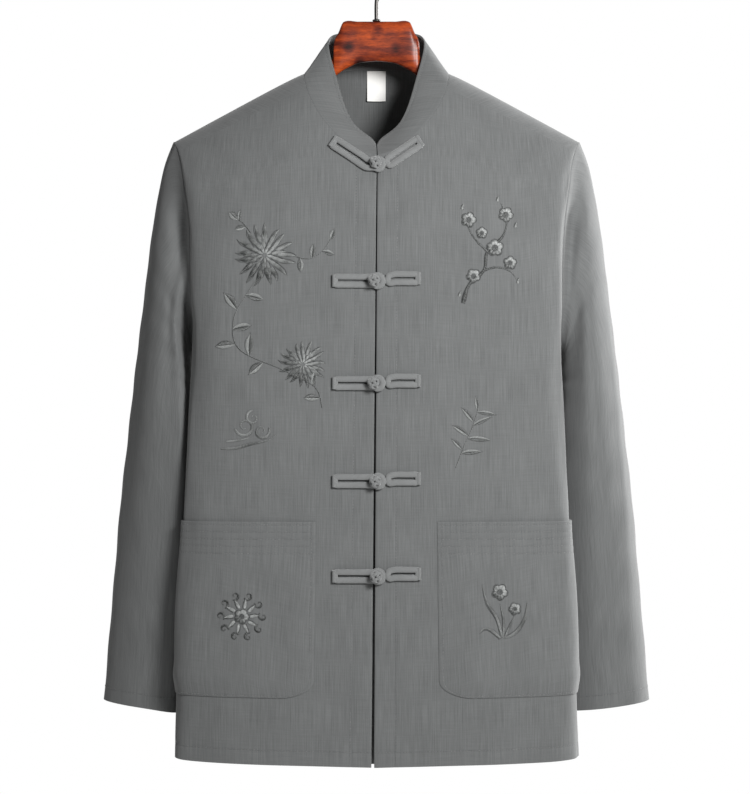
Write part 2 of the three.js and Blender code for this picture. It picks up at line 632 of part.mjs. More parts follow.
// The collar band of both halves, from the left front end round the back to the right front end.
function collar(left, right) {
  const flip = (k) => ({ p: k.p.clone().setX(-k.p.x), n: k.n.clone().setX(-k.n.x) });
  const rightSeam = right.neck.slice(0, -1).reverse();
  const seam = [...left.neck.map((knots) => knots.map((k) => ({ ...k }))), ...rightSeam.map((knots) => knots.map(flip))];
  const half = shares(left.neck.map(meanPoint));
  const along = [...half, ...half.slice(0, -1).reverse()];
  const turnOver = left.neck.length - 1;
  const length = left.neck.map(meanPoint).reduce((sum, p, i, all) => (i ? sum + p.distanceTo(all[i - 1]) : 0), 0);
  const columns = seam.map((knots, i) => {
    const foot = meanPoint(knots);
    const [x, y, z] = ["x", "y", "z"].map((column) => smoothColumn(collarTop, "share", column, along[i]));
    const top = point(i > turnOver ? -x : x, y, z);
    const fromEnd = Math.min(1, (along[i] * length + 1.5) / COLLAR_CORNER);
    const cut = COLLAR_CORNER * (1 - Math.sqrt(1 - (1 - fromEnd) ** 2));
    const height = top.distanceTo(foot);
    return { foot, top: foot.clone().lerp(top, (height - cut) / height) };
  });
  const places = Array.from({ length: COLLAR_ROWS + 1 }, (_, r) =>
    columns.map(({ foot, top }) => foot.clone().lerp(top, r / COLLAR_ROWS)),
  );
  const flat = gridOf(places);
  const bulged = flat.map((row, r) =>
    row.map((k) => moved(k.p, k.n, COLLAR_BULGE * Math.sin((Math.PI * r) / COLLAR_ROWS))),
  );
  const grid = gridOf(bulged);
  // The right half's own cloth points are set through mirrored copies, then written back.
  sew(seam, grid[0], grid[1]);
  left.neck.forEach((knots, i) => knots.forEach((k, n) => (k.inward = seam[i][n].inward)));
  rightSeam.forEach((knots, i) =>
    knots.forEach((k, n) => {
      const inward = seam[turnOver + 1 + i][n].inward;
      k.inward = inward.clone().setX(-inward.x);
    }),
  );
  right.neck[turnOver].forEach((k, n) => (k.inward = left.neck[turnOver][n].inward));
  return grid;
}

const left = half(1);
const right = half(-1);
const sleeves = { left: sleeve(left), right: sleeve(right) };
const collarGrid = collar(left, right);

add("front_right", wall(right.front, CLOTH, { mirrored: true }), materials.cloth);
add("front_left", wall(left.front, CLOTH), materials.cloth);
const mirrorKnot = (k) =>
  k && { p: k.p.clone().setX(-k.p.x), n: k.n.clone().setX(-k.n.x), inward: k.inward.clone().setX(-k.inward.x) };
const backGrid = left.back.map((row, r) => [...row, ...right.back[r].slice(0, -1).reverse().map(mirrorKnot)]);
add("back", wall(backGrid, CLOTH), materials.cloth);
add("sleeve_right", wall(sleeves.right, CLOTH, { around: true, mirrored: true }), materials.cloth);
add("sleeve_left", wall(sleeves.left, CLOTH, { around: true }), materials.cloth);
add("collar", wall(collarGrid, COLLAR_CLOTH), materials.trim);

// Place of cloth on a front, from what the front view shows.
function frontSpot(side, x, z) {
  let turn = x / 320;
  let level = levelOf(z);
  const e = 0.001;
  for (let i = 0; i < 40; i += 1) {
    const p = form(turn, level);
    turn += (0.8 * e * (x - p.x)) / (form(turn + e, level).x - p.x);
    level += (0.8 * e * (z - p.z)) / (form(turn, level + e).z - p.z);
  }
  return clothPoint(frontFolds, side, turn, level);
}

// Patch pockets
function pocket(side) {
  const innerTurn = solve((turn) => form(turn, levelOf(POCKET.top)).x - POCKET.innerX, 0, 1);
  const span = POCKET.outerTurn - innerTurn;
  const grid = pocketRows.map((height) => {
    const fromFoot = Math.min(1, height / POCKET.corner);
    const inset = POCKET.corner * (1 - Math.sqrt(1 - (1 - fromFoot) ** 2));
    const insetTurn = (inset / 165) * span;
    return pocketColumns.map((share) => {
      const turn = lerp(innerTurn + insetTurn, POCKET.outerTurn - insetTurn, share);
      const k = clothPoint(frontFolds, side, turn, levelOf(POCKET.foot + height));
      const bulge = Math.sin(Math.PI * share) * Math.sin(Math.PI * Math.pow(height / 185, 0.6));
      const rise = POCKET.lift + POCKET_CLOTH + POCKET.puff * bulge;
      return knot(moved(k.p, k.n, rise), k.n);
    });
  });
  return wall(grid, POCKET_CLOTH, { mirrored: side < 0 });
}
add("pocket_right", pocket(-1), materials.cloth);
add("pocket_left", pocket(1), materials.cloth);

// Path of a frog's cord on a front. a runs out from the knot and b across the leg.
function frogSpot(side, frog, a, b, lift) {
  const slant = degToRad(frog.slant) * smoothstep(a, 2, 16);
  const bent = Math.max(0, a - 9);
  const x = Math.min(a, 9) + bent * Math.cos(slant) - b * Math.sin(slant);
  const z = frog.z + bent * Math.sin(slant) + b * Math.cos(slant);
  const k = frontSpot(side, x, z);
  return { p: moved(k.p, k.n, lift + CORD.thick / 2), up: k.n };
}

// A loop of cord: out along the lower run, across the end and back, then round the eye.
function frogLoop(side, frog) {
  const { eye, eyeLift, waist } = FROG_LOOP;
  const run = CORD.pitch / 2;
  const end = frog.outer - CORD.wide / 2;
  const spots = [
    ...[waist, 20, 30, 38].map((a) => [a, -run]),
    [end, -run],
    [end, run],
    ...[38, 30, 20, waist].map((a) => [a, run]),
    ...[50, 95, 140, 180, 220, 265, 310].map((angle) => {
      return [eye * Math.cos(degToRad(angle)) - 1, eye * Math.sin(degToRad(angle))];
    }),
  ];
  const path = spots.map(([a, b]) => frogSpot(side, frog, a, b, CORD.lift + eyeLift * (1 - smoothstep(a, 2, 14))));
  return tube(path, CORD.wide, CORD.thick, { closed: true, mirrored: side < 0 });
}

// The knot side: a run of cord like the loop's, and a ball on a short stem that passes under the loop.
function frogKnot(side, frog) {
  const { inner, ball, height, stem } = FROG_KNOT;
  const run = CORD.pitch / 2;
  const end = frog.outer - CORD.wide / 2;
  const spots = [
    [inner - 2, -run * 0.8],
    ...[20, 30, 38].map((a) => [a, -run]),
    [end, -run],
    [end, run],
    ...[38, 30, 20].map((a) => [a, run]),
    [inner - 2, run * 0.8],
  ];
  const path = spots.map(([a, b]) => frogSpot(side, frog, a, b, CORD.lift));
  const mirrored = side < 0;
  const cord = tube(path, CORD.wide, CORD.thick, { closed: true, mirrored });
  const flat = [15, 10, 5, 1].map((a) => frogSpot(side, frog, a, 0, CORD.lift - CORD.thick / 2 + stem / 2));
  const base = frogSpot(side, frog, 0.5, 0, 0);
  const rise = { p: moved(base.p, base.up, height - 4), up: point(0, 0, 1) };
  const neck = tube([{ ...base, up: point(0, 0, 1) }, rise], 4, 4, { mirrored });
  const stalk = tube(flat, 5, stem, { mirrored });
  const head = new THREE.SphereGeometry(ball, 10, 6);
  head.scale(1, 0.85, 1);
  const centre = moved(base.p, base.up, height - CORD.thick / 2);
  head.translate(mirrored ? -centre.x : centre.x, centre.y, centre.z);
  return joined(cord, stalk, neck, head);
}
frogs.forEach((frog, i) => {
  add(`frog_${i + 1}_loop`, frogLoop(-1, frog), materials.trim);
  add(`frog_${i + 1}_knot`, frogKnot(1, frog), materials.trim);
});

// Neck label, on the inner face of the back
const labelGrid = [0, 0.5, 1].map((v) =>
  [0.5, 0.17, -0.17, -0.5].map((u) => {
    const z = form(2, 2).z - LABEL.drop - LABEL.height * (1 - v);
    const level = solve((t) => form(2, t).z - z, 1, 2);
    const x = u * LABEL.width;
    const turn = solve((t) => Math.abs(x) - form(t, level).x, 1.5, 2);
    const k = clothPoint(backFolds, Math.sign(x), turn, level);
    const inside = moved(k.p, k.n, -CLOTH - LABEL.gap);
    return knot(x < 0 ? inside.setX(-inside.x) : inside, x < 0 ? k.n.setX(-k.n.x) : k.n);
  }),
);
add("neck_label", wall(labelGrid, LABEL.thick), materials.label);

// Hanger: oval sections along the arms
const WOOD_SIDES = 12;
const woodRing = (x) => {
  const [top, foot, halfThick] = ["top", "foot", "half"].map((column) => smoothColumn(woodRows, "x", column, Math.abs(x)));
  return Array.from({ length: WOOD_SIDES }, (_, i) => {
    const [y, z] = superellipse(((i + 0.5) / WOOD_SIDES) * 2 * Math.PI, 2.8);
    return point(x, halfThick * y, (top + foot) / 2 + ((top - foot) / 2) * z);
  });
};
const woodXs = [...woodRows.map((row) => -row.x).reverse().slice(0, -1), ...woodRows.map((row) => row.x)];
const woodPlaces = woodXs.map(woodRing);
const woodFaces = [];
woodPlaces.slice(1).forEach((_, i) => {
  for (let k = 0; k < WOOD_SIDES; k += 1) {
    const [a, b] = [i * WOOD_SIDES + k, i * WOOD_SIDES + ((k + 1) % WOOD_SIDES)];
    woodFaces.push([a, a + WOOD_SIDES, b], [b, a + WOOD_SIDES, b + WOOD_SIDES]);
  }
});
const woodEnd = (woodPlaces.length - 1) * WOOD_SIDES;
for (let k = 1; k + 1 < WOOD_SIDES; k += 1) woodFaces.push([0, k, k + 1], [woodEnd, woodEnd + k + 1, woodEnd + k]);
const wood = new THREE.BufferGeometry();
wood.setAttribute("position", new THREE.Float32BufferAttribute(woodPlaces.flat().flatMap((p) => [p.x, p.y, p.z]), 3));
wood.setIndex(woodFaces.flat());
add("hanger_wood", wood, materials.wood);

const hookCurve = new THREE.CatmullRomCurve3(hookPoints.map(({ x, z }) => point(x, 0, z)));
const wireSection = new THREE.Shape().absarc(0, 0, WIRE_RADIUS, 0, 2 * Math.PI);
const wire = new THREE.ExtrudeGeometry(wireSection, { steps: 26, curveSegments: 4, extrudePath: hookCurve });
add("hanger_hook", wire, materials.wire);

export default jacket;
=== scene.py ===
import math

import bpy
import numpy as np
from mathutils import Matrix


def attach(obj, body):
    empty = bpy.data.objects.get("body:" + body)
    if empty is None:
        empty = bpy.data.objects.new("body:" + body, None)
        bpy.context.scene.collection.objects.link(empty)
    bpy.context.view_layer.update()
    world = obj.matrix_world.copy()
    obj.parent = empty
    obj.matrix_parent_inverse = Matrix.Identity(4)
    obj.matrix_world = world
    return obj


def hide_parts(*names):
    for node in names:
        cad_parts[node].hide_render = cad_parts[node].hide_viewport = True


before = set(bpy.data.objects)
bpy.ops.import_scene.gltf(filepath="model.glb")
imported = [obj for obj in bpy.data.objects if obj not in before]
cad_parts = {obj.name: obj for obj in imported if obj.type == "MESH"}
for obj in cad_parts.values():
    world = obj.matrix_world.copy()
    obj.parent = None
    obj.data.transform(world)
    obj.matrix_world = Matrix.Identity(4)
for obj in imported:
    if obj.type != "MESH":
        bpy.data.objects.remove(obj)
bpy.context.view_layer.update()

# Camera. The jacket is seen from straight in front, from 3 m away and level with the waist, on a long lens,
# so that it fills the upright picture with a narrow margin.
camera_data = bpy.data.cameras.new("camera")
camera_data.sensor_width = 36.0
camera_data.lens = 124.58
camera = bpy.data.objects.new("camera", camera_data)
bpy.context.collection.objects.link(camera)
camera.location = (-0.0016, -3.0, -0.4807)
camera.rotation_euler = (math.radians(90), 0.0, 0.0)
bpy.context.scene.camera = camera

# Fronts. Two panels of grey crepe-like cloth, cut in one piece from hem to shoulder seam, edge to edge at the
# middle. Each has a faced front edge and a turned-up hem, both held by a row of topstitching.
# Sizes are in millimetres. x points away from the middle in each half, and side is 1 for +X and -1 for -X.
CLOTH = 1.5
SEAM_GAP = 0.02
HEM = -866.5
CHEST = -400.0
UNDERARM_HEIGHT = -430.0
NECK_RIDGE = -121.5
SHOULDER_SLOPE = 0.545
SLOPE_START = 72.0
SLOPE_EASE = 16.0
SHOULDER_SPREAD = 0.135
SHOULDER_SEAM = 1.75
NECK_HALF_WIDTH = 79.0
NECK_DROP = 91.0
NECK_TOP = -131.0
NECK_POWER = 1.6
BACK_NECK_DEPTH = 50.0
BACK_NECK_RISE = 4.5
BACK_NECK_POWER = 2.2
BACK_NECK_LEAN = math.radians(66)
SIDE_SEAM_TURN = 1.3
ARMHOLE_FRONT = 0.95
ARMHOLE_BACK = 1.42
ARMHOLE_WIDEST = 1.22
HEM_FRONT_DROP = 8.5
FRONT_ROUNDNESS = 3.0
ELLIPSE = 0.5523
# Length of cloth in one step of turn, and the rows of the grid in the armhole and beside the neck
TURN_LENGTH = 320.0
ARMHOLE_ROWS = 16
BESIDE_NECK_ROWS = 7
# Height, half width, front, back, corner and roundness of the back
BODY_SECTIONS = np.array([
    (-866.5, 217.0, 80.0, 98.0, 36.0, 2.3),
    (-745.0, 212.5, 81.0, 92.0, 38.0, 2.3),
    (-615.0, 207.0, 82.0, 87.0, 42.0, 2.3),
    (-500.0, 203.0, 83.0, 87.0, 46.0, 2.4),
    (-400.0, 198.5, 83.0, 90.0, 49.0, 3.0),
])
# Soft folds: side, turn at the top and foot, height of the top and foot, half width, depth
FRONT_FOLDS = [
    (1, 0.86, 0.70, -395, -600, 26, -2.6),
    (1, 0.62, 0.50, -290, -520, 36, 1.8),
    (-1, 0.84, 0.72, -380, -560, 24, -3.2),
    (-1, 0.66, 0.50, -300, -560, 34, 2.0),
    (-1, 0.26, 0.00, -680, -900, 18, -1.8),
    (-1, 0.15, 0.03, -830, -856, 6, -1.2),
]
FRONT_CREASES = [
    (1, 0.93, 0.78, -250, -470, 17, -1.3),
    (1, 0.80, 0.84, -560, -900, 20, 1.1),
    (1, 0.34, 0.30, -300, -620, 30, -0.8),
    (1, 0.24, 0.30, -640, -880, 26, 0.8),
    (1, 0.52, 0.56, -760, -900, 24, -0.9),
    (-1, 0.92, 0.80, -255, -500, 15, -1.5),
    (-1, 0.82, 0.86, -540, -890, 22, 1.2),
    (-1, 0.30, 0.36, -280, -600, 30, 0.7),
    (-1, 0.40, 0.22, -640, -800, 14, -0.8),
    (-1, 0.56, 0.50, -740, -900, 26, -0.9),
]


def blend(a, b, share):
    return a + (b - a) * share


def eased(share):
    share = np.clip(share, 0, 1)
    return share * share * (3 - 2 * share)


def smooth_column(sections, column, at):
    keys = sections[:, 0]
    values = sections[:, column]
    last = len(keys) - 1
    after = np.minimum(np.arange(last + 1) + 1, last)
    before = np.maximum(np.arange(last + 1) - 1, 0)
    slopes = (values[after] - values[before]) / (keys[after] - keys[before])
    i = np.clip(np.searchsorted(keys, at, side="right") - 1, 0, last - 1)
    step = keys[i + 1] - keys[i]
    s = (at - keys[i]) / step
    ends = blend(values[i], values[i + 1], s * s * (3 - 2 * s))
    return ends + s * (s - 1) ** 2 * step * slopes[i] + s * s * (s - 1) * step * slopes[i + 1]


def superellipse(angle, power):
    across = np.sin(angle)
    along = np.cos(angle)
    reach = (np.abs(across) ** power + np.abs(along) ** power) ** (-1 / power)
    return reach * across, reach * along


def body_outline(turn, height):
    width, front, back, corner, roundness = [smooth_column(BODY_SECTIONS, i, height) for i in range(1, 6)]
    before, ahead = superellipse(turn * math.pi / 2, FRONT_ROUNDNESS)
    behind, backwards = superellipse((2 - turn) * math.pi / 2, roundness)
    x = width * np.where(turn <= 1, before, behind)
    y = np.where(turn <= 1, -corner - (front - corner) * ahead, -corner + (back + corner) * backwards)
    return x, y


def ridge_height(x):
    past = x - SLOPE_START
    return NECK_RIDGE - SHOULDER_SLOPE * (past + np.hypot(past, SLOPE_EASE)) / 2


def neckline_height(x):
    share = np.minimum(1, np.abs(x) / NECK_HALF_WIDTH) ** NECK_POWER
    return NECK_TOP - NECK_DROP * (1 - share) ** (1 / NECK_POWER)


def crossing(curve, low, high):
    low = np.array(low, dtype=float)
    high = np.array(high, dtype=float)
    for _ in range(40):
        middle = (low + high) / 2
        below = curve(middle) < 0
        low = np.where(below, middle, low)
        high = np.where(below, high, middle)
    return (low + high) / 2


NECK_RIDGE_X = float(crossing(lambda x: neckline_height(x) - ridge_height(x), 50, NECK_HALF_WIDTH))


def body_form(turn, level):
    """Point of the torso. turn: 0 centre front, 2 centre back. level: 0 hem, 1 chest, 2 shoulder ridge."""
    turn, level = np.broadcast_arrays(np.asarray(turn, dtype=float), np.asarray(level, dtype=float))
    low = np.minimum(level, 1)
    z = blend(HEM, CHEST, low)
    x, y = body_outline(turn, z)
    z = z - HEM_FRONT_DROP * np.maximum(0, 1 - np.abs(turn)) * (1 - low) ** 4
    t = np.clip(level - 1, 0, None)
    chest_x, chest_y = body_outline(turn, np.full_like(turn, CHEST))
    high_x = chest_x * (1 + SHOULDER_SPREAD * t ** 1.7)
    in_neck = np.where(chest_y > 0, np.minimum(1, np.abs(high_x) / NECK_RIDGE_X), 1)
    near = 1 - in_neck ** 2
    end_y = BACK_NECK_DEPTH * (1 - in_neck ** BACK_NECK_POWER) ** (1 / BACK_NECK_POWER)
    end_z = ridge_height(high_x) + BACK_NECK_RISE * near ** 2
    rise = end_z - CHEST
    lean = BACK_NECK_LEAN * near
    handle = blend(ELLIPSE * np.abs(chest_y - end_y), 0.35 * rise, near)
    top_y = end_y + np.sign(chest_y) * handle * np.cos(lean)
    top_z = end_z - handle * np.sin(lean)
    a, b, c, d = (1 - t) ** 3, 3 * (1 - t) ** 2 * t, 3 * (1 - t) * t * t, t ** 3
    high_y = (a + b) * chest_y + c * top_y + d * end_y
    high_z = a * CHEST + b * (CHEST + ELLIPSE * rise) + c * top_z + d * end_z
    over = level > 1
    pairs = ((high_x, x), (high_y, y), (high_z, z))
    return np.stack([np.where(over, high, low) for high, low in pairs], axis=-1)


def level_of(height):
    return (height - HEM) / (CHEST - HEM)


def fold_depth(folds, side, places):
    total = np.zeros(places.shape[:-1])
    height = places[..., 2]
    for fold_side, top_turn, foot_turn, top, foot, width, depth in folds:
        s = np.clip((top - height) / (top - foot), 0, 1)
        centre = body_form(blend(top_turn, foot_turn, s), np.clip(level_of(height), 0, 1))
        along = np.where(height < CHEST, places[..., 1] - centre[..., 1], 0)
        across = np.hypot(side * places[..., 0] - fold_side * centre[..., 0], along) / width
        total += depth * np.sin(np.pi * s ** 0.8) * np.exp(-across ** 2)
    return total


def unit(vectors):
    return vectors / np.maximum(np.linalg.norm(vectors, axis=-1, keepdims=True), 1e-12)


def cloth_at(folds, side, turn, level, fine=None):
    """Places and outward normals of cloth that lies on the torso form, moved by its folds."""
    turn, level = np.broadcast_arrays(np.asarray(turn, dtype=float), np.asarray(level, dtype=float))
    e = 0.003

    def place(u, v):
        points = body_form(u, v)
        move = fold_depth(folds, side, points)
        if fine is not None:
            move = move + fine(side, u, v, points)
        across = body_form(np.minimum(u + e, 2), v) - body_form(u - e, v)
        up = body_form(u, np.minimum(v + e, 2)) - body_form(u, np.maximum(v - e, 0))
        return points + unit(np.cross(across, up)) * move[..., None]

    across = place(np.minimum(turn + e, 2), level) - place(turn - e, level)
    up = place(turn, np.minimum(level + e, 2)) - place(turn, np.maximum(level - e, 0))
    return place(turn, level), unit(np.cross(across, up))


class Panel:
    """A grid of cloth: places, outward normals and the directions of the inner face."""

    def __init__(self, places, normals, missing=None):
        self.places = places
        self.normals = normals
        self.inward = -normals
        self.missing = missing


UNDERARM = level_of(UNDERARM_HEIGHT)
NECK_LEVEL = float(crossing(lambda v: body_form(0, v)[..., 2] - neckline_height(0), 1, 2))
SEAM_HALF_TURN = 0.00004
SEAM_HALF_LEVEL = 0.00005


def run(start, end, count, ease=False):
    steps = (np.arange(count) + 1) / count
    return blend(start, end, 1 - np.cos(steps * math.pi / 2) if ease else steps)


HEM_ROWS = np.array([0, 1.2, 3, 6.5, 10.5, 13.6, 15, 16.4, 21]) / (CHEST - HEM)
BODY_LEVELS = np.concatenate([HEM_ROWS, run(HEM_ROWS[-1], UNDERARM, 56)])
FRONT_LEVELS = np.concatenate([
    BODY_LEVELS,
    run(UNDERARM, ARMHOLE_WIDEST, ARMHOLE_ROWS, ease=True),
    run(ARMHOLE_WIDEST, NECK_LEVEL, BESIDE_NECK_ROWS),
    run(NECK_LEVEL, SHOULDER_SEAM - SEAM_HALF_LEVEL, 22, ease=True),
])
UNDERARM_ROW = len(BODY_LEVELS) - 1
NECK_ROW = UNDERARM_ROW + ARMHOLE_ROWS + BESIDE_NECK_ROWS


def neckline_turn(level):
    def outside(turn):
        point = body_form(turn, level)
        inside = (point[..., 0] < NECK_HALF_WIDTH) & (point[..., 2] > neckline_height(point[..., 0]))
        return np.where(inside, -1.0, 1.0)

    return crossing(outside, np.zeros_like(level), np.full_like(level, 0.6))


def centre_edge(side, level):
    up = np.clip(level / NECK_LEVEL, 0, 1)
    return side * blend(-4.0, 0.8, up) + blend(1.5, 0.5, up)


def front_inner(side, level):
    x = centre_edge(side, level)
    low = np.full_like(level, -0.2)
    edge = crossing(lambda turn: body_form(turn, level)[..., 0] - x, low, -low)
    return np.where(level > NECK_LEVEL, np.maximum(edge, neckline_turn(level)), edge)


def armhole_share(level):
    s = np.clip((level - UNDERARM) / (ARMHOLE_WIDEST - UNDERARM), 0, 1)
    return np.sqrt(1 - (1 - s) ** 2)


def front_outer(level):
    return blend(SIDE_SEAM_TURN - SEAM_HALF_TURN, ARMHOLE_FRONT, armhole_share(level))


def wander(side, u, v, strength=0.35):
    """Slow unevenness that no hanging cloth is without."""
    k = 3.1 if side > 0 else 7.7
    waves = np.sin(17.3 * u + 9.1 * v + k) + np.sin(-11.9 * u + 16.7 * v + 2.3 * k)
    waves = waves + 0.7 * np.sin(31.0 * u + 5.3 * v - k) + 0.5 * np.sin(23.0 * v - 29.0 * u + 1.7 * k)
    return strength * waves


PLACKET_STITCH = 21.5
HEM_STITCH = 15.0


def groove(distance, depth=0.4, half=1.2):
    return -depth * np.exp(-(distance / half) ** 2)


def front_fine(side, u, v, points):
    move = fold_depth(FRONT_CREASES, side, points) + wander(side, u, v)
    move = move * (1 - eased((v - 1.55) / 0.18))
    below_neck = 1 - eased((v - NECK_LEVEL + 0.02) / 0.02)
    from_edge = points[..., 0] - centre_edge(side, v)
    move = move + groove(from_edge - PLACKET_STITCH) * below_neck
    above_hem = points[..., 2] - body_form(u, 0 * v)[..., 2]
    move = move + groove(above_hem - HEM_STITCH)
    # The front edge and the hem are folded double, so they stand a little proud and roll in at the fold
    roll = np.clip(from_edge / 2.2, 0, 1)
    move = move - 0.7 * (1 - np.sqrt(1 - (1 - roll) ** 2)) * below_neck
    seam = np.clip((SIDE_SEAM_TURN - u) * TURN_LENGTH / 2.0, 0, 1)
    move = move - 0.6 * (1 - seam) ** 2
    return move


NEAR_EDGE = np.array([0, 0.8, 2.2, 5, 9, 14, 18.5, 20.2, 21.5, 22.8, 24.5]) / TURN_LENGTH
FRONT_SHARES = np.concatenate([np.linspace(0, 1, 44)[1:-2], [0.965, 0.98, 0.99, 0.996, 1.0]])


def front_panel(side):
    inner = front_inner(side, FRONT_LEVELS)[:, None]
    outer = front_outer(FRONT_LEVELS)[:, None]
    near = inner + NEAR_EDGE[None, :]
    turns = np.concatenate([near, blend(near[:, -1:], outer, FRONT_SHARES[None, :])], axis=1)
    places, normals = cloth_at(FRONT_FOLDS, side, turns, FRONT_LEVELS[:, None], front_fine)
    return Panel(places, normals)


def flat_places(places, grain_at_edge=False):
    """Where each point lies on the flat cloth, in metres: across and up."""
    across = np.linalg.norm(np.diff(places, axis=1), axis=-1)
    across = np.concatenate([np.zeros((len(places), 1)), np.cumsum(across, axis=1)], axis=1)
    up = np.linalg.norm(np.diff(places, axis=0), axis=-1)
    up = np.concatenate([np.zeros((1, places.shape[1])), np.cumsum(up, axis=0)], axis=0)
    middle = places.shape[1] // 2
    across = across + places[:, :1, 0] if grain_at_edge else across - across[:, middle:middle + 1]
    return np.stack([across, up], axis=-1) / 1000


def solid_piece(name, points, faces, material, crease, maps=None, mirrored=False):
    """A piece from its points, in millimetres, with sharp edges where it bends by more than the crease."""
    points = np.array(points) / 1000
    if mirrored:
        points = points * (-1, 1, 1)
        faces = [list(reversed(face)) for face in faces]
        maps = [list(reversed(corners)) for corners in maps]
    mesh = bpy.data.meshes.new(name)
    mesh.from_pydata(points.tolist(), [], faces)
    if maps is not None:
        layer = mesh.uv_layers.new(name="flat_cloth")
        flat = np.array([place for corners in maps for place in corners], dtype=np.float32)
        layer.data.foreach_set("uv", flat.ravel())
    mesh.polygons.foreach_set("use_smooth", [True] * len(mesh.polygons))
    mesh.set_sharp_from_angle(angle=math.radians(crease))
    mesh.materials.append(material)
    piece = bpy.data.objects.new(name, mesh)
    bpy.context.collection.objects.link(piece)
    return piece


def wall(name, panel, thick, material, around=False, mirrored=False, grain_at_edge=False):
    """A closed wall of cloth from a panel, with a flat map on both faces."""
    rows, columns = panel.places.shape[:2]
    outer = panel.places.reshape(-1, 3)
    inner = outer + panel.inward.reshape(-1, 3) * thick
    points = np.concatenate([outer, inner])
    present = np.ones(rows * columns, bool) if panel.missing is None else ~panel.missing.reshape(-1)
    new_index = np.cumsum(np.concatenate([present, present])) - 1
    count = rows * columns
    laid_out = np.concatenate([panel.places, panel.places[:, :1]], axis=1) if around else panel.places
    flat = flat_places(laid_out, grain_at_edge)
    faces = []
    maps = []
    edges = {}
    for r in range(rows - 1):
        for c in range(columns if around else columns - 1):
            d = (c + 1) % columns
            corners = [r * columns + c, r * columns + d, (r + 1) * columns + d, (r + 1) * columns + c]
            if not all(present[k] for k in corners):
                continue
            here = [flat[r, c], flat[r, c + 1], flat[r + 1, c + 1], flat[r + 1, c]]
            faces.append(corners)
            maps.append(here)
            faces.append([k + count for k in reversed(corners)])
            maps.append(list(reversed(here)))
            for k in range(4):
                edges[(corners[k], corners[(k + 1) % 4])] = (here[k], here[(k + 1) % 4])
    for (a, b), (flat_a, flat_b) in edges.items():
        if (b, a) not in edges:
            faces.append([b, a, a + count, b + count])
            maps.append([flat_b, flat_a, flat_a, flat_b])
    faces = [[int(new_index[k]) for k in face] for face in faces]
    points = points[np.concatenate([present, present])]
    return solid_piece(name, points, faces, material, 48, maps, mirrored)


def new_material(name):
    material = bpy.data.materials.new(name)
    material.use_nodes = True
    nodes = material.node_tree.nodes
    return material, nodes, material.node_tree.links, nodes["Principled BSDF"]


def shader_group(name, inputs, outputs):
    """An empty shader group with named sockets."""
    group = bpy.data.node_groups.new(name, "ShaderNodeTree")
    for socket, kind, value in inputs:
        made = group.interface.new_socket(socket, in_out="INPUT", socket_type=kind)
        if value is not None:
            made.default_value = value
    for socket, kind in outputs:
        group.interface.new_socket(socket, in_out="OUTPUT", socket_type=kind)
    return group, group.nodes.new("NodeGroupInput"), group.nodes.new("NodeGroupOutput")


def math_node(nodes, links, kind, *values):
    node = nodes.new("ShaderNodeMath")
    node.operation = kind
    for socket, value in zip(node.inputs, values):
        if isinstance(value, (int, float)):
            socket.default_value = value
        else:
            links.new(value, socket)
    return node.outputs[0]


def tinted(nodes, links, shader, tone, dark, light):
    """Base colour between a dark and a light tone."""
    tint = nodes.new("ShaderNodeMix")
    tint.data_type = "RGBA"
    tint.inputs["A"].default_value = (*dark, 1)
    tint.inputs["B"].default_value = (*light, 1)
    links.new(tone, tint.inputs["Factor"])
    links.new(tint.outputs["Result"], shader.inputs["Base Color"])


def raised(nodes, links, shader, height, strength, depth):
    """Fine relief of the surface. The depth is in metres."""
    relief = nodes.new("ShaderNodeBump")
    relief.inputs["Strength"].default_value = strength
    relief.inputs["Distance"].default_value = depth
    links.new(height, relief.inputs["Height"])
    links.new(relief.outputs[0], shader.inputs["Normal"])


def surface(shader, values):
    """Values that are the same all over the surface."""
    for socket, value in values.items():
        shader.inputs[socket].default_value = value


# Plain weave: threads over and under, slubs that run along single threads, and a crepe-like crinkle
weave, weave_in, weave_out = shader_group(
    "plain_weave",
    [
        ("Flat place", "NodeSocketVector", None),
        ("Threads per metre", "NodeSocketFloat", 1500.0),
        ("Slub", "NodeSocketFloat", 0.5),
        ("Crinkle", "NodeSocketFloat", 0.5),
    ],
    [("Height", "NodeSocketFloat"), ("Tone", "NodeSocketFloat")],
)
n, k = weave.nodes, weave.links
split = n.new("ShaderNodeSeparateXYZ")
k.new(weave_in.outputs["Flat place"], split.inputs[0])
beat = math_node(n, k, "MULTIPLY", weave_in.outputs["Threads per metre"], math.pi)
across = math_node(n, k, "SINE", math_node(n, k, "MULTIPLY", split.outputs[0], beat))
up = math_node(n, k, "SINE", math_node(n, k, "MULTIPLY", split.outputs[1], beat))
over_under = math_node(n, k, "MULTIPLY_ADD", math_node(n, k, "MULTIPLY", across, up), 0.5, 0.5)


def stretched_noise(nodes, links, place, scale, detail=2.0, roughness=0.5, seed=0.0):
    shift = nodes.new("ShaderNodeVectorMath")
    shift.operation = "MULTIPLY_ADD"
    links.new(place, shift.inputs[0])
    shift.inputs[1].default_value = scale
    shift.inputs[2].default_value = (seed, 2.7 * seed, 0.0)
    noise = nodes.new("ShaderNodeTexNoise")
    noise.inputs["Scale"].default_value = 1.0
    noise.inputs["Detail"].default_value = detail
    noise.inputs["Roughness"].default_value = roughness
    links.new(shift.outputs[0], noise.inputs["Vector"])
    return noise.outputs["Fac"]


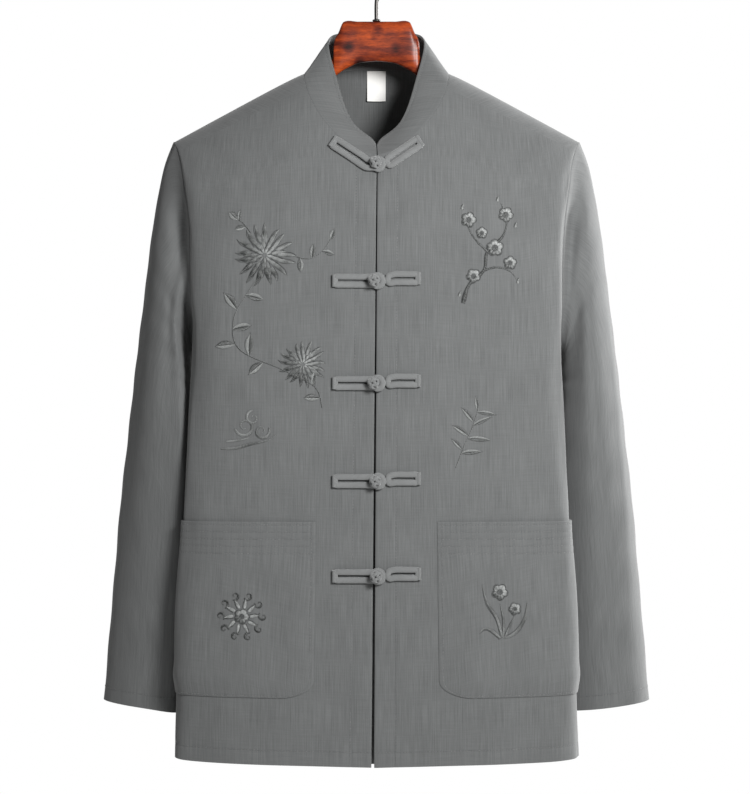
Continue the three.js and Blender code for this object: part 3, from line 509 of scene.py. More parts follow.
flat_place = weave_in.outputs["Flat place"]
warp_slub = stretched_noise(n, k, flat_place, (900, 26, 0), seed=3.0)
weft_slub = stretched_noise(n, k, flat_place, (34, 820, 0), seed=8.0)
cloud = stretched_noise(n, k, flat_place, (30, 22, 0), detail=3.0, seed=5.0)
crinkle = stretched_noise(n, k, flat_place, (330, 210, 0), detail=3.0, roughness=0.6, seed=1.0)
slub = math_node(n, k, "MULTIPLY_ADD", warp_slub, 0.75, math_node(n, k, "MULTIPLY", weft_slub, 0.25))
slub = math_node(n, k, "MULTIPLY", math_node(n, k, "SUBTRACT", slub, 0.5), weave_in.outputs["Slub"])
rough = math_node(n, k, "MULTIPLY", math_node(n, k, "SUBTRACT", crinkle, 0.5), weave_in.outputs["Crinkle"])
tone = math_node(n, k, "MULTIPLY_ADD", math_node(n, k, "SUBTRACT", cloud, 0.5), 0.35, 0.5)
tone = math_node(n, k, "ADD", tone, math_node(n, k, "MULTIPLY", slub, 2.2))
tone = math_node(n, k, "MULTIPLY_ADD", math_node(n, k, "SUBTRACT", over_under, 0.5), 0.18, tone)
k.new(tone, weave_out.inputs["Tone"])
height = math_node(n, k, "MULTIPLY_ADD", over_under, 0.3, math_node(n, k, "MULTIPLY", slub, 0.9))
k.new(math_node(n, k, "ADD", height, math_node(n, k, "MULTIPLY", rough, 2.4)), weave_out.inputs["Height"])


def woven(name, dark, light, threads, slub=0.5, crinkle=0.5, bump=(0.35, 0.0004), roughness=0.85, sheen=0.25,
          specular=0.25):
    """A cloth finish on the piece's flat map. bump: strength and depth."""
    material, nodes, links, shader = new_material(name)
    flat_map = nodes.new("ShaderNodeUVMap")
    flat_map.uv_map = "flat_cloth"
    cloth = nodes.new("ShaderNodeGroup")
    cloth.node_tree = weave
    cloth.inputs["Threads per metre"].default_value = threads
    cloth.inputs["Slub"].default_value = slub
    cloth.inputs["Crinkle"].default_value = crinkle
    links.new(flat_map.outputs[0], cloth.inputs["Flat place"])
    tinted(nodes, links, shader, cloth.outputs["Tone"], dark, light)
    raised(nodes, links, shader, cloth.outputs["Height"], *bump)
    surface(shader, {
        "Roughness": roughness, "Sheen Weight": sheen, "Sheen Roughness": 0.5, "Specular IOR Level": specular,
    })
    return material


CLOTH_THREADS = 1500
grey_cloth = woven(
    "grey_crepe", (0.078, 0.0805, 0.0805), (0.152, 0.1565, 0.1565), CLOTH_THREADS, slub=0.62
)


def worn(piece, slot, *nodes):
    """Every piece rides on the one body, and the imported parts that it stands for are hidden. The slot is not used.
    """
    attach(piece, "root")
    if nodes:
        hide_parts(*nodes)


fronts = {side: front_panel(side) for side in (1, -1)}

# Back. One panel of the same cloth over the full width, which runs over the shoulder ridge to a seam that
# lies a little in front of it, with a turned-up hem. It hangs in a few long soft folds from the shoulders.
BACK_FOLDS = [
    (1, 1.93, 1.88, -300, -960, 27, -9.0),
    (1, 1.78, 1.74, -350, -930, 22, 5.5),
    (1, 1.65, 1.61, -330, -960, 20, -7.5),
    (-1, 1.88, 1.90, -420, -950, 22, 5.0),
    (-1, 1.76, 1.78, -310, -990, 24, -8.5),
    (-1, 1.60, 1.58, -380, -900, 19, -6.0),
]
BACK_CREASES = [
    (1, 1.50, 1.46, -420, -880, 24, -1.6),
    (1, 1.86, 1.82, -170, -330, 22, -1.2),
    (1, 1.70, 1.66, -700, -930, 16, 1.4),
    (-1, 1.50, 1.52, -430, -860, 26, 1.4),
    (-1, 1.86, 1.80, -180, -360, 24, -1.4),
    (-1, 1.70, 1.69, -650, -930, 15, 1.6),
]
BACK_LEVELS = np.concatenate([
    BODY_LEVELS,
    run(UNDERARM, ARMHOLE_WIDEST, ARMHOLE_ROWS, ease=True),
    run(ARMHOLE_WIDEST, 2.0, 26),
])
OVER_LEVELS = run(2.0, SHOULDER_SEAM + SEAM_HALF_LEVEL, 9)
RIDGE_ROW = len(BACK_LEVELS) - 1


def front_turn_at(x):
    return crossing(lambda turn: body_form(turn, 2.0)[..., 0] - x, np.zeros_like(x), np.full_like(x, 0.999))


def back_turn_at(x):
    first, last = np.full_like(x, 1.02), np.full_like(x, 2.0)
    return crossing(lambda turn: x - body_form(turn, 2.0)[..., 0], first, last)


TIP_TURN = float(crossing(lambda turn: body_outline(turn, np.array(CHEST))[1], 1.0, 2.0))
TIP_X = float(body_form(TIP_TURN, 2.0)[0])


def back_outer(level):
    wide = blend(SIDE_SEAM_TURN + SEAM_HALF_TURN, ARMHOLE_BACK, armhole_share(level))
    return blend(wide, TIP_TURN, eased((level - ARMHOLE_WIDEST) / (2 - ARMHOLE_WIDEST)))


def back_fine(side, u, v, points):
    move = fold_depth(BACK_CREASES, side, points) + wander(side, u, v)
    move = move * (1 - eased((v - 1.7) / 0.25))
    above_hem = points[..., 2] - body_form(u, 0 * v)[..., 2]
    move = move + groove(above_hem - HEM_STITCH)
    seam = np.clip((u - SIDE_SEAM_TURN) * TURN_LENGTH / 2.0, 0, 1)
    return move - 0.6 * (1 - seam) ** 2


NECK_COLUMNS = 14
RIDGE_XS = blend(TIP_X, NECK_RIDGE_X, np.concatenate([[0, 0.006, 0.02], np.linspace(0, 1, 39)[2:], [1]]))
RIDGE_XS = np.unique(RIDGE_XS)[::-1]
RIDGE_COLUMNS = len(RIDGE_XS) - 1
NECK_XS = NECK_RIDGE_X * np.cos((np.arange(NECK_COLUMNS) + 1) / NECK_COLUMNS * math.pi / 2)


def back_panel(side):
    tip = back_turn_at(np.array(TIP_X))
    neck = back_turn_at(np.array(NECK_RIDGE_X))
    shares = (back_turn_at(RIDGE_XS) - neck) / (tip - neck)
    neck_turns = np.where(NECK_XS < 1, 2.0, back_turn_at(np.maximum(NECK_XS, 1)))
    edge = back_outer(BACK_LEVELS)[:, None]
    turns = blend(neck, edge, shares[None, :])
    turns = np.concatenate([turns, np.repeat(neck_turns[None, :], len(turns), axis=0)], axis=1)
    behind, normals = cloth_at(BACK_FOLDS, side, turns, BACK_LEVELS[:, None], back_fine)
    inner = front_turn_at(np.array(NECK_RIDGE_X))
    tip = front_turn_at(np.array(TIP_X))
    before = (front_turn_at(RIDGE_XS) - inner) / (tip - inner)
    over_edge = blend(ARMHOLE_FRONT, tip, eased((OVER_LEVELS - SHOULDER_SEAM) / (2 - SHOULDER_SEAM)))
    turns = blend(neckline_turn(OVER_LEVELS)[:, None], over_edge[:, None], before[None, :])
    over, over_normals = cloth_at([], side, turns, OVER_LEVELS[:, None])
    blank = np.zeros((len(over), NECK_COLUMNS, 3))
    places = np.concatenate([behind, np.concatenate([over, blank], axis=1)])
    normals = np.concatenate([normals, np.concatenate([over_normals, blank + (0, 0, 1)], axis=1)])
    missing = np.zeros(places.shape[:2], bool)
    missing[RIDGE_ROW + 1:, RIDGE_COLUMNS + 1:] = True
    return Panel(places, normals, missing)


backs = {side: back_panel(side) for side in (1, -1)}

# Sleeves. Each is a tube of the same cloth, set into the armhole with a seam and open at the cuff, with a
# turned-up hem. It hangs straight beside the body, bends a little forward and carries long soft folds.
# Outer point x and z, inner point x and z, reach to the front and back, from the shoulder to the cuff
SLEEVE_SECTIONS = np.array([
    (0, 227.0, -214.0, 198.0, -431.5, -38.0, 44.0),
    (1, 235.5, -236.0, 202.0, -435.0, -38.0, 54.0),
    (2, 242.0, -270.0, 202.8, -439.5, -39.0, 66.0),
    (3, 248.5, -318.0, 202.2, -445.0, -41.0, 78.0),
    (4, 255.0, -370.0, 201.8, -453.0, -42.0, 88.0),
    (5, 262.0, -424.0, 201.5, -465.0, -41.0, 95.0),
    (6, 268.5, -478.0, 200.0, -486.0, -38.0, 98.0),
    (7, 275.5, -537.0, 199.0, -545.0, -31.0, 100.0),
    (8, 283.0, -600.0, 199.0, -609.0, -23.0, 100.0),
    (9, 289.0, -668.0, 200.0, -677.0, -15.0, 98.0),
    (10, 295.5, -741.0, 201.5, -751.0, -8.0, 95.0),
    (11, 301.7, -814.5, 204.0, -826.0, -3.0, 92.0),
])
# side, place around (0 outer side, 0.25 front, 0.5 inner side, 0.75 back), from, to, half width, depth
SLEEVE_FOLDS = [
    (1, 0.33, -0.25, 0.6, 0.055, -6.0),
    (1, 0.20, 0.12, 1.1, 0.06, -3.0),
    (1, 0.82, 0.05, 1.1, 0.07, -5.0),
    (-1, 0.31, -0.3, 0.5, 0.05, -7.0),
    (-1, 0.15, 0.2, 1.15, 0.07, -2.5),
    (-1, 0.79, 0.0, 1.0, 0.06, -6.0),
]
SLEEVE_CREASES = [
    (1, 0.27, 0.2, 0.85, 0.02, 1.4),
    (1, 0.13, 0.3, 0.95, 0.025, 1.2),
    (1, 0.38, 0.45, 1.05, 0.03, 1.6),
    (-1, 0.24, 0.1, 0.6, 0.02, 1.5),
    (-1, 0.36, 0.35, 1.0, 0.03, 1.8),
    (-1, 0.08, 0.3, 0.9, 0.03, 1.0),
]
# Valleys beside the armhole seam, where the empty sleeve falls back: side, from and to around the tube,
# middle and half width along it in rows of sections, depth
ARMHOLE_FOLDS = [
    (1, 0.03, 0.41, 0.85, 0.6, -13.0),
    (1, 0.60, 0.95, 0.90, 0.6, -7.0),
    (-1, 0.03, 0.50, 0.95, 0.68, -15.0),
    (-1, 0.60, 0.95, 0.90, 0.6, -8.0),
]
# The right sleeve's inner edge swings forward as a soft ridge beside the body: rows of sections, place around,
# half width, reach
SLEEVE_RIDGE = np.array([
    (0.0, 0.30, 0.045, 0.0), (0.8, 0.30, 0.045, 7.0), (2.5, 0.32, 0.05, 13.0), (4.5, 0.36, 0.07, 24.0),
    (7.0, 0.38, 0.085, 30.0), (9.5, 0.38, 0.085, 27.0), (11.0, 0.37, 0.085, 20.0),
])
# Rings from the shoulder to the cuff, closer together at the seam and at the hem. CUFF_STITCH is the ring that
# the cuff's hem is sewn along, and the armhole's own shape fades out within ARMHOLE_FADE rows of sections.
SLEEVE_STEPS = np.concatenate([
    [0, 0.004, 0.012], np.linspace(0, 1, 96)[2:-4], [0.972, 0.978, 0.984, 0.992, 0.998, 1.0],
])
CUFF_STITCH = -4
ARMHOLE_FADE = 3.0


def seam_points(knots):
    return np.mean([panel.places[r, c] for panel, r, c in knots], axis=0)


def seam_normal(knots):
    return unit(np.mean([panel.normals[r, c] for panel, r, c in knots], axis=0))


def armhole_seam(front, back):
    last = front.places.shape[1] - 1
    knots = [[(back, r, 0)] for r in range(RIDGE_ROW, len(back.places) - 1)]
    knots.append([(back, len(back.places) - 1, 0), (front, len(front.places) - 1, last)])
    knots += [[(front, r, last)] for r in range(len(front.places) - 2, UNDERARM_ROW, -1)]
    knots.append([(front, UNDERARM_ROW, last), (back, UNDERARM_ROW, 0)])
    underarm = len(knots) - 1
    knots += [[(back, r, 0)] for r in range(UNDERARM_ROW + 1, RIDGE_ROW)]
    return knots, underarm


def neck_seam(front, back):
    knots = [[(front, r, 0)] for r in range(NECK_ROW, len(front.places) - 1)]
    knots.append([(front, len(front.places) - 1, 0), (back, len(back.places) - 1, RIDGE_COLUMNS)])
    knots += [[(back, r, RIDGE_COLUMNS)] for r in range(len(back.places) - 2, RIDGE_ROW - 1, -1)]
    knots += [[(back, RIDGE_ROW, c)] for c in range(RIDGE_COLUMNS + 1, back.places.shape[1])]
    return knots


def length_shares(points):
    sums = np.concatenate([[0], np.cumsum(np.linalg.norm(np.diff(points, axis=0), axis=1))])
    return sums / sums[-1]


def mitre(own, other):
    """Both walls of a seam are cut on the line between them, so neither runs into the other."""
    middle = unit(own + other)
    return -middle / max(0.45, float(np.dot(middle, own)))


def sew(seam, first, inward, following, flip=False):
    """Joins the first row of a piece to the panels along a seam, with a hairline between them."""
    turned = np.array([-1, 1, 1]) if flip else np.ones(3)
    for i, knots in enumerate(seam):
        own = seam_normal(knots) * turned
        cut = unit(mitre(own, first["normals"][i]))
        away = following[i] - first["places"][i]
        away = unit(away - cut * np.dot(away, cut))
        first["places"][i] += away * SEAM_GAP
        inward[i] = mitre(first["normals"][i], own)
        for panel, r, c in knots:
            panel.inward[r, c] = mitre(own, first["normals"][i]) * turned


def grid_normals(places, around=False):
    if around:
        across = np.roll(places, -1, axis=1) - np.roll(places, 1, axis=1)
    else:
        padded = np.concatenate([places[:, :1], places, places[:, -1:]], axis=1)
        across = padded[:, 2:] - padded[:, :-2]
    padded = np.concatenate([places[:1], places, places[-1:]])
    up = padded[2:] - padded[:-2]
    return unit(np.cross(across, up))


def sleeve_ring(v):
    """The sleeve's outline at a row of its sections, as a function of the place around it."""
    outer_x, outer_z, inner_x, inner_z, front, back = [
        float(smooth_column(SLEEVE_SECTIONS, i, np.array(v))) for i in range(1, 7)
    ]
    outer = np.array([outer_x, (front + back) / 2, outer_z])
    inner = np.array([inner_x, (front + back) / 2, inner_z])
    centre = (outer + inner) / 2
    angles = np.linspace(0, 2 * math.pi, 241)
    ring = centre + np.cos(angles)[:, None] * (outer - centre)
    ring[:, 1] -= np.sin(angles) * (back - front) / 2
    along = length_shares(ring)
    return lambda around: np.stack([np.interp(around, along, ring[:, i]) for i in range(3)], axis=-1)


def sleeve_panel(side, seam, underarm):
    loop = np.array([seam_points(knots) for knots in seam])
    down = length_shares(loop[:underarm + 1])
    rising = length_shares(np.concatenate([loop[underarm:], loop[:1]]))
    arounds = np.concatenate([down / 2, 0.5 + rising[1:-1] / 2])
    start = sleeve_ring(0)(arounds)
    last = len(SLEEVE_SECTIONS) - 1
    places = []
    for step in SLEEVE_STEPS:
        v = last * step ** 1.15
        fade = 1 - float(eased(v / ARMHOLE_FADE))
        ring = sleeve_ring(v)(arounds) + (loop - start) * fade
        centre = ring.mean(axis=0)
        move = np.zeros(len(ring))
        for fold_side, around, begin, end, width, depth in SLEEVE_FOLDS + SLEEVE_CREASES:
            s = (v / last - begin) / (end - begin)
            if fold_side != side or s <= 0 or s >= 1:
                continue
            across = (arounds - around) / width
            move += depth * math.sin(math.pi * s) * np.exp(-across ** 2)
        move += 0.35 * np.sin(6.28 * (3 * arounds + 1.1 * v + side)) * min(1.0, v)
        move *= 1 - fade
        for fold_side, begin, end, at, width, depth in ARMHOLE_FOLDS:
            if fold_side != side:
                continue
            s = np.clip((arounds - begin) / (end - begin), 0, 1)
            deep = depth * math.exp(-((v - at) / width) ** 2) * float(eased(v / 0.4))
            move += deep * np.sin(math.pi * s) ** 0.7
        move -= 0.55 * max(0.0, 1 - v / 0.05) ** 2
        placed = ring + unit(ring - centre) * move[:, None]
        if side < 0:
            around, width, reach = [np.interp(v, SLEEVE_RIDGE[:, 0], SLEEVE_RIDGE[:, i]) for i in (1, 2, 3)]
            placed[:, 1] -= reach * np.exp(-((arounds - around) / width) ** 2)
        places.append(placed)
    places = np.array(places)
    panel = Panel(places, grid_normals(places, around=True))
    first = {"places": panel.places[0], "normals": panel.normals[0]}
    sew(seam, first, panel.inward[0], panel.places[1])
    return panel


sleeves = {}
for side in (1, -1):
    seam, underarm = armhole_seam(fronts[side], backs[side])
    sleeves[side] = sleeve_panel(side, seam, underarm)

# Stand collar. A stiffened double band of the same cloth, sewn to the neckline and topstitched near its
# top edge, with rounded front corners that meet at the middle.
COLLAR_CLOTH = 2.2
# Share of the way from centre front to centre back, then x, y and z of the top edge
COLLAR_TOP = np.array([
    (0.00, 1.0, -35.0, -204.0),
    (0.17, 26.0, -41.0, -183.0),
    (0.45, 44.0, -20.0, -131.0),
    (0.64, 52.5, 5.0, -91.0),
    (0.82, 37.5, 31.0, -79.0),
    (1.00, 0.0, 43.5, -77.0),
])
COLLAR_CORNER = 11.0
# Rows of the grid from the seam to the top edge, and the row that is sewn
COLLAR_SHARES = np.array([
    0, 0.02, 0.05, 0.1, 0.2, 0.32, 0.45, 0.58, 0.7, 0.8, 0.86, 0.89, 0.92, 0.96, 0.985, 1.0,
])
COLLAR_STITCH = 0.89

necks = {side: neck_seam(fronts[side], backs[side]) for side in (1, -1)}
left_foot = np.array([seam_points(knots) for knots in necks[1]])
half_shares = length_shares(left_foot)
half_length = float(np.sum(np.linalg.norm(np.diff(left_foot, axis=0), axis=1)))
along_collar = np.concatenate([half_shares, half_shares[:-1][::-1]])
turn_over = len(half_shares) - 1
right_knots = necks[-1][:-1][::-1]
collar_foot = np.concatenate([left_foot, [seam_points(knots) * (-1, 1, 1) for knots in right_knots]])
collar_head = np.stack([smooth_column(COLLAR_TOP, i, along_collar) for i in (1, 2, 3)], axis=-1)
collar_head[turn_over + 1:, 0] *= -1
from_end = np.minimum(1, (along_collar * half_length + 1.5) / COLLAR_CORNER)
corner_cut = COLLAR_CORNER * (1 - np.sqrt(1 - (1 - from_end) ** 2))
collar_height = np.linalg.norm(collar_head - collar_foot, axis=1)
collar_head = blend(collar_foot, collar_head, ((collar_height - corner_cut) / collar_height)[:, None])
places = blend(collar_foot[None], collar_head[None], COLLAR_SHARES[:, None, None])
normals = grid_normals(places)
share = COLLAR_SHARES[:, None]
# The band swells a little, dips at its row of stitches and rolls over at the top
swell = 1.2 * np.sin(math.pi * share) + groove((share - COLLAR_STITCH) * 40, 0.45, 1.3)
swell = swell - 0.7 * np.maximum(0, (share - 0.96) / 0.04) ** 2 - 0.5 * np.maximum(0, 1 - share / 0.03) ** 2
places = places + normals * swell[..., None]
collar_panel = Panel(places, grid_normals(places))
for seam, half, flip in (
    (necks[1], slice(None, turn_over + 1), False), (right_knots, slice(turn_over + 1, None), True),
):
    first = {"places": collar_panel.places[0, half], "normals": collar_panel.normals[0, half]}
    sew(seam, first, collar_panel.inward[0, half], collar_panel.places[1, half], flip)
for (left, r, c), (right, right_r, right_c) in zip(necks[1][-1], necks[-1][-1]):
    right.inward[right_r, right_c] = left.inward[r, c]

# Both fronts, the back, the sleeves and the collar, now that their seams are cut
front_left = wall("left_front", fronts[1], CLOTH, grey_cloth, grain_at_edge=True)
front_right = wall("right_front", fronts[-1], CLOTH, grey_cloth, mirrored=True, grain_at_edge=True)
mirror = np.array([-1, 1, 1])
whole_back = Panel(*[
    np.concatenate([getattr(backs[1], grid), getattr(backs[-1], grid)[:, :-1][:, ::-1] * turned], axis=1)
    for grid, turned in (("places", mirror), ("normals", mirror), ("missing", True))
])
whole_back.inward = np.concatenate([backs[1].inward, backs[-1].inward[:, :-1][:, ::-1] * mirror], axis=1)
back_piece = wall("back_panel", whole_back, CLOTH, grey_cloth)
sleeve_left = wall("left_sleeve", sleeves[1], CLOTH, grey_cloth, around=True)
sleeve_right = wall("right_sleeve", sleeves[-1], CLOTH, grey_cloth, around=True, mirrored=True)
collar = wall("stand_collar", collar_panel, COLLAR_CLOTH, grey_cloth)
# Width and length of the cloth each piece is cut from, and the area of its cut, in metres
for piece, node, flat, area, carrier in (
    (front_left, "front_left", (0.305, 0.77), 0.184, "hanger_wood"),
    (front_right, "front_right", (0.305, 0.77), 0.182, "hanger_wood"),
    (back_piece, "back", (0.655, 0.82), 0.326, "hanger_wood"),
    (sleeve_left, "sleeve_left", (0.54, 0.622), 0.166, "back_panel"),
    (sleeve_right, "sleeve_right", (0.54, 0.622), 0.175, "back_panel"),
    (collar, "collar", (0.52, 0.046), 0.018, "back_panel"),
):
    worn(piece, "cloth", node)

# Underlap. A narrow doubled strip of the same cloth, sewn behind the left front edge and passing under the
# right one, so that nothing shows through the gap between them.
# How far it reaches to each side of the middle, and how far it hangs behind the fronts
UNDERLAP_REACH = 17.0
UNDERLAP_DEPTH = 7.0
underlap_levels = np.concatenate([[0.006], np.linspace(0.02, NECK_LEVEL - 0.012, 90)])
underlap_rows = []
for x in np.linspace(-UNDERLAP_REACH, UNDERLAP_REACH, 12):
    turns = crossing(
        lambda turn: body_form(turn, underlap_levels)[..., 0] - x,
        np.full_like(underlap_levels, -0.2), np.full_like(underlap_levels, 0.2),
    )
    row, row_normals = cloth_at(FRONT_FOLDS, 1, turns, underlap_levels)
    underlap_rows.append(row - row_normals * (CLOTH + UNDERLAP_DEPTH))
underlap_places = np.stack(underlap_rows, axis=1)
underlap = wall("front_underlap", Panel(underlap_places, grid_normals(underlap_places)), CLOTH, grey_cloth)
worn(underlap, "cloth")

# Patch pockets. Two large pockets with round lower corners, sewn on along their sides and foot. Their top hems
# are held by five rows of stitches, and they sag a little above the foot.
POCKET_CLOTH = 1.3
POCKET_TOP = -613.0
POCKET_FOOT = -798.0
POCKET_TALL = POCKET_TOP - POCKET_FOOT
POCKET_WIDE = 165.0
POCKET_CORNER = 19.0
POCKET_ROWS_OF_STITCHES = POCKET_TALL - np.array([3.4, 11.0, 18.6, 26.2, 33.8])
POCKET_EDGE_STITCH = 2.2
POCKET_OUTER_TURN = 1.14
POCKET_INNER_X = 64.5
POCKET_INNER_TURN = float(crossing(
    lambda turn: body_form(turn, level_of(POCKET_TOP))[..., 0] - POCKET_INNER_X, 0.0, 1.0
))


def pocket_cloth(side, heights, shares):
    """Outer face of a pocket, which follows the front that it is sewn to. heights are from its foot."""
    span = POCKET_OUTER_TURN - POCKET_INNER_TURN
    from_foot = np.minimum(1, heights / POCKET_CORNER)
    inset = POCKET_CORNER * (1 - np.sqrt(1 - (1 - from_foot) ** 2)) / POCKET_WIDE * span
    turns = POCKET_INNER_TURN + inset + (span - 2 * inset) * shares
    places, normals = cloth_at(FRONT_FOLDS, side, turns, level_of(POCKET_FOOT + heights), front_fine)
    bulge = np.sin(math.pi * shares) * np.sin(math.pi * (heights / POCKET_TALL) ** 0.6)
    from_side = np.minimum(shares, 1 - shares) * POCKET_WIDE
    edge = np.minimum(from_side, heights)
    rise = 0.15 + POCKET_CLOTH + 0.9 * eased(edge / 14) + 2.0 * bulge
    # The cloth sags over the foot seam and stands off a little at the open top
    rise = rise + 1.3 * np.exp(-((heights - 17 - 5 * shares) / 9.0) ** 2) * eased(from_side / 30)
    rise = rise + 0.5 * np.exp(-((heights - POCKET_TALL) / 10.0) ** 2) * eased(from_side / 25)
    rise = rise + 0.5 * np.sin(5.5 * shares + side * 0.022 * heights + side) * eased(edge / 20)
    for row in POCKET_ROWS_OF_STITCHES:
        rise = rise + groove(heights - row, 0.35, 1.3)
    rise = rise + groove(edge - POCKET_EDGE_STITCH, 0.3, 0.9)
    # The sewn edge and the fold at the top are rolled in
    rise = rise - 0.7 * (1 - np.clip(edge / 1.6, 0, 1)) ** 2
    rise = rise - 0.5 * (1 - np.clip((POCKET_TALL - heights) / 1.4, 0, 1)) ** 2
    return places + normals * rise[..., None], normals


POCKET_HEIGHTS = np.unique(np.concatenate(
    [[0, 0.6, 1.4, 2.2, 3.0, 4.2, 6, 8.5, 11.5, 15, 19], np.arange(24, 150, 4.5), [183.8, 184.5, POCKET_TALL]]
    + [row + np.array([-2.6, -1.3, 0, 1.3, 2.6]) for row in POCKET_ROWS_OF_STITCHES]
))
POCKET_HEIGHTS = POCKET_HEIGHTS[POCKET_HEIGHTS <= POCKET_TALL]
POCKET_SIDE = np.array([0, 0.6, 1.4, 2.2, 3.0, 4.4, 6.6]) / POCKET_WIDE
POCKET_SHARES = np.concatenate([POCKET_SIDE, np.linspace(0.058, 0.942, 40), 1 - POCKET_SIDE[::-1]])
for side, name, node, front in (
    (1, "left_pocket", "pocket_left", front_left), (-1, "right_pocket", "pocket_right", front_right),
):
    places, _ = pocket_cloth(side, POCKET_HEIGHTS[:, None], POCKET_SHARES[None, :])
    pocket = wall(name, Panel(places, grid_normals(places)), POCKET_CLOTH, grey_cloth, mirrored=side < 0)
    worn(pocket, "cloth", node)

# Topstitching. Short stitches of grey thread sunk in the cloth: along the front edges, the hem, the cuffs and
# the top of the collar, and on the pockets. One tree lays every thread, those of the embroidery too.
stitch_tree = bpy.data.node_groups.new("laid_threads", "GeometryNodeTree")
sockets = stitch_tree.interface
sockets.new_socket("Geometry", in_out="INPUT", socket_type="NodeSocketGeometry")
width_socket = sockets.new_socket("Thread width", in_out="INPUT", socket_type="NodeSocketFloat")
height_socket = sockets.new_socket("Thread height", in_out="INPUT", socket_type="NodeSocketFloat")
thread_socket = sockets.new_socket("Thread", in_out="INPUT", socket_type="NodeSocketMaterial")
sockets.new_socket("Geometry", in_out="OUTPUT", socket_type="NodeSocketGeometry")
nodes, links = stitch_tree.nodes, stitch_tree.links
tree_in = nodes.new("NodeGroupInput")
tree_out = nodes.new("NodeGroupOutput")


def laid(name, kind):
    node = nodes.new("GeometryNodeInputNamedAttribute")
    node.data_type = kind
    node.inputs["Name"].default_value = name
    return node.outputs["Attribute"]


seed_shape = nodes.new("GeometryNodeMeshUVSphere")
seed_shape.inputs["Segments"].default_value = 6
seed_shape.inputs["Rings"].default_value = 4
seed_shape.inputs["Radius"].default_value = 0.5
turned = nodes.new("FunctionNodeAxesToRotation")
turned.primary_axis = "Z"
turned.secondary_axis = "X"
links.new(laid("facing", "FLOAT_VECTOR"), turned.inputs["Primary Axis"])
links.new(laid("along", "FLOAT_VECTOR"), turned.inputs["Secondary Axis"])
size = nodes.new("ShaderNodeCombineXYZ")
links.new(laid("reach", "FLOAT"), size.inputs["X"])
links.new(tree_in.outputs["Thread width"], size.inputs["Y"])
links.new(tree_in.outputs["Thread height"], size.inputs["Z"])
placed = nodes.new("GeometryNodeInstanceOnPoints")
links.new(tree_in.outputs["Geometry"], placed.inputs["Points"])
links.new(seed_shape.outputs["Mesh"], placed.inputs["Instance"])
links.new(turned.outputs["Rotation"], placed.inputs["Rotation"])
links.new(size.outputs["Vector"], placed.inputs["Scale"])
real = nodes.new("GeometryNodeRealizeInstances")
links.new(placed.outputs["Instances"], real.inputs["Geometry"])
finish = nodes.new("GeometryNodeSetMaterial")
links.new(real.outputs["Geometry"], finish.inputs["Geometry"])
links.new(tree_in.outputs["Thread"], finish.inputs["Material"])
links.new(finish.outputs["Geometry"], tree_out.inputs["Geometry"])


def lay_threads(name, places, facing, along, reach, width, height, material, tone):
    """Threads or stitches, one at each place, as one mesh. Sizes are in millimetres."""
    points = bpy.data.meshes.new(name + "_places")
    points.from_pydata((places / 1000).tolist(), [], [])
    for key, values in (("facing", facing), ("along", along)):
        layer = points.attributes.new(key, "FLOAT_VECTOR", "POINT")
        layer.data.foreach_set("vector", values.astype(np.float32).ravel())
    for key, values in (("reach", reach / 1000), ("tone", tone)):
        layer = points.attributes.new(key, "FLOAT", "POINT")
        layer.data.foreach_set("value", values.astype(np.float32).ravel())
    piece = bpy.data.objects.new(name, points)
    bpy.context.collection.objects.link(piece)
    modifier = piece.modifiers.new("threads", "NODES")
    modifier.node_group = stitch_tree
    modifier[width_socket.identifier] = width / 1000
    modifier[height_socket.identifier] = height / 1000
    modifier[thread_socket.identifier] = material
    evaluated = piece.evaluated_get(bpy.context.evaluated_depsgraph_get())
    plain = bpy.data.meshes.new_from_object(evaluated)
    piece.modifiers.clear()
    piece.data = plain
    plain.polygons.foreach_set("use_smooth", [True] * len(plain.polygons))
    worn(piece, "cloth")


def thread_finish(name, dark, light, roughness=0.45, sheen=0.3, specular=0.5):
    """Twisted thread: each one has its own tone, and fine strands run round it."""
    material, nodes, links, shader = new_material(name)
    own = nodes.new("ShaderNodeAttribute")
    own.attribute_name = "tone"
    where = nodes.new("ShaderNodeTexCoord")
    strands = stretched_noise(nodes, links, where.outputs["Object"], (2600, 2600, 2600), detail=1.0)
    strand = math_node(nodes, links, "SUBTRACT", strands, 0.5)
    mixed = math_node(nodes, links, "MULTIPLY_ADD", strand, 0.5, own.outputs["Fac"])
    tinted(nodes, links, shader, mixed, dark, light)
    raised(nodes, links, shader, strands, 0.4, 0.0002)
    surface(shader, {"Roughness": roughness, "Sheen Weight": sheen, "Specular IOR Level": specular})
    return material


sewing_thread = thread_finish("sewing_thread", (0.06, 0.063, 0.063), (0.14, 0.144, 0.144))
STITCH_PITCH = 3.3
STITCH_REACH = 2.5
STITCH_WIDE = 0.75
STITCH_HIGH = 0.5
STITCH_LIFT = 0.12


def stitch_row(path, normals):
    """Stitches at even steps along a path of close points: places, facing and along."""
    steps = np.concatenate([[0], np.cumsum(np.linalg.norm(np.diff(path, axis=0), axis=1))])
    at = np.arange(STITCH_PITCH / 2, steps[-1], STITCH_PITCH)
    places = np.stack([np.interp(at, steps, path[:, i]) for i in range(3)], axis=-1)
    facing = unit(np.stack([np.interp(at, steps, normals[:, i]) for i in range(3)], axis=-1))
    ahead = np.stack([np.interp(at + 0.5, steps, path[:, i]) for i in range(3)], axis=-1)
    behind = np.stack([np.interp(at - 0.5, steps, path[:, i]) for i in range(3)], axis=-1)
    return places, facing, unit(ahead - behind)


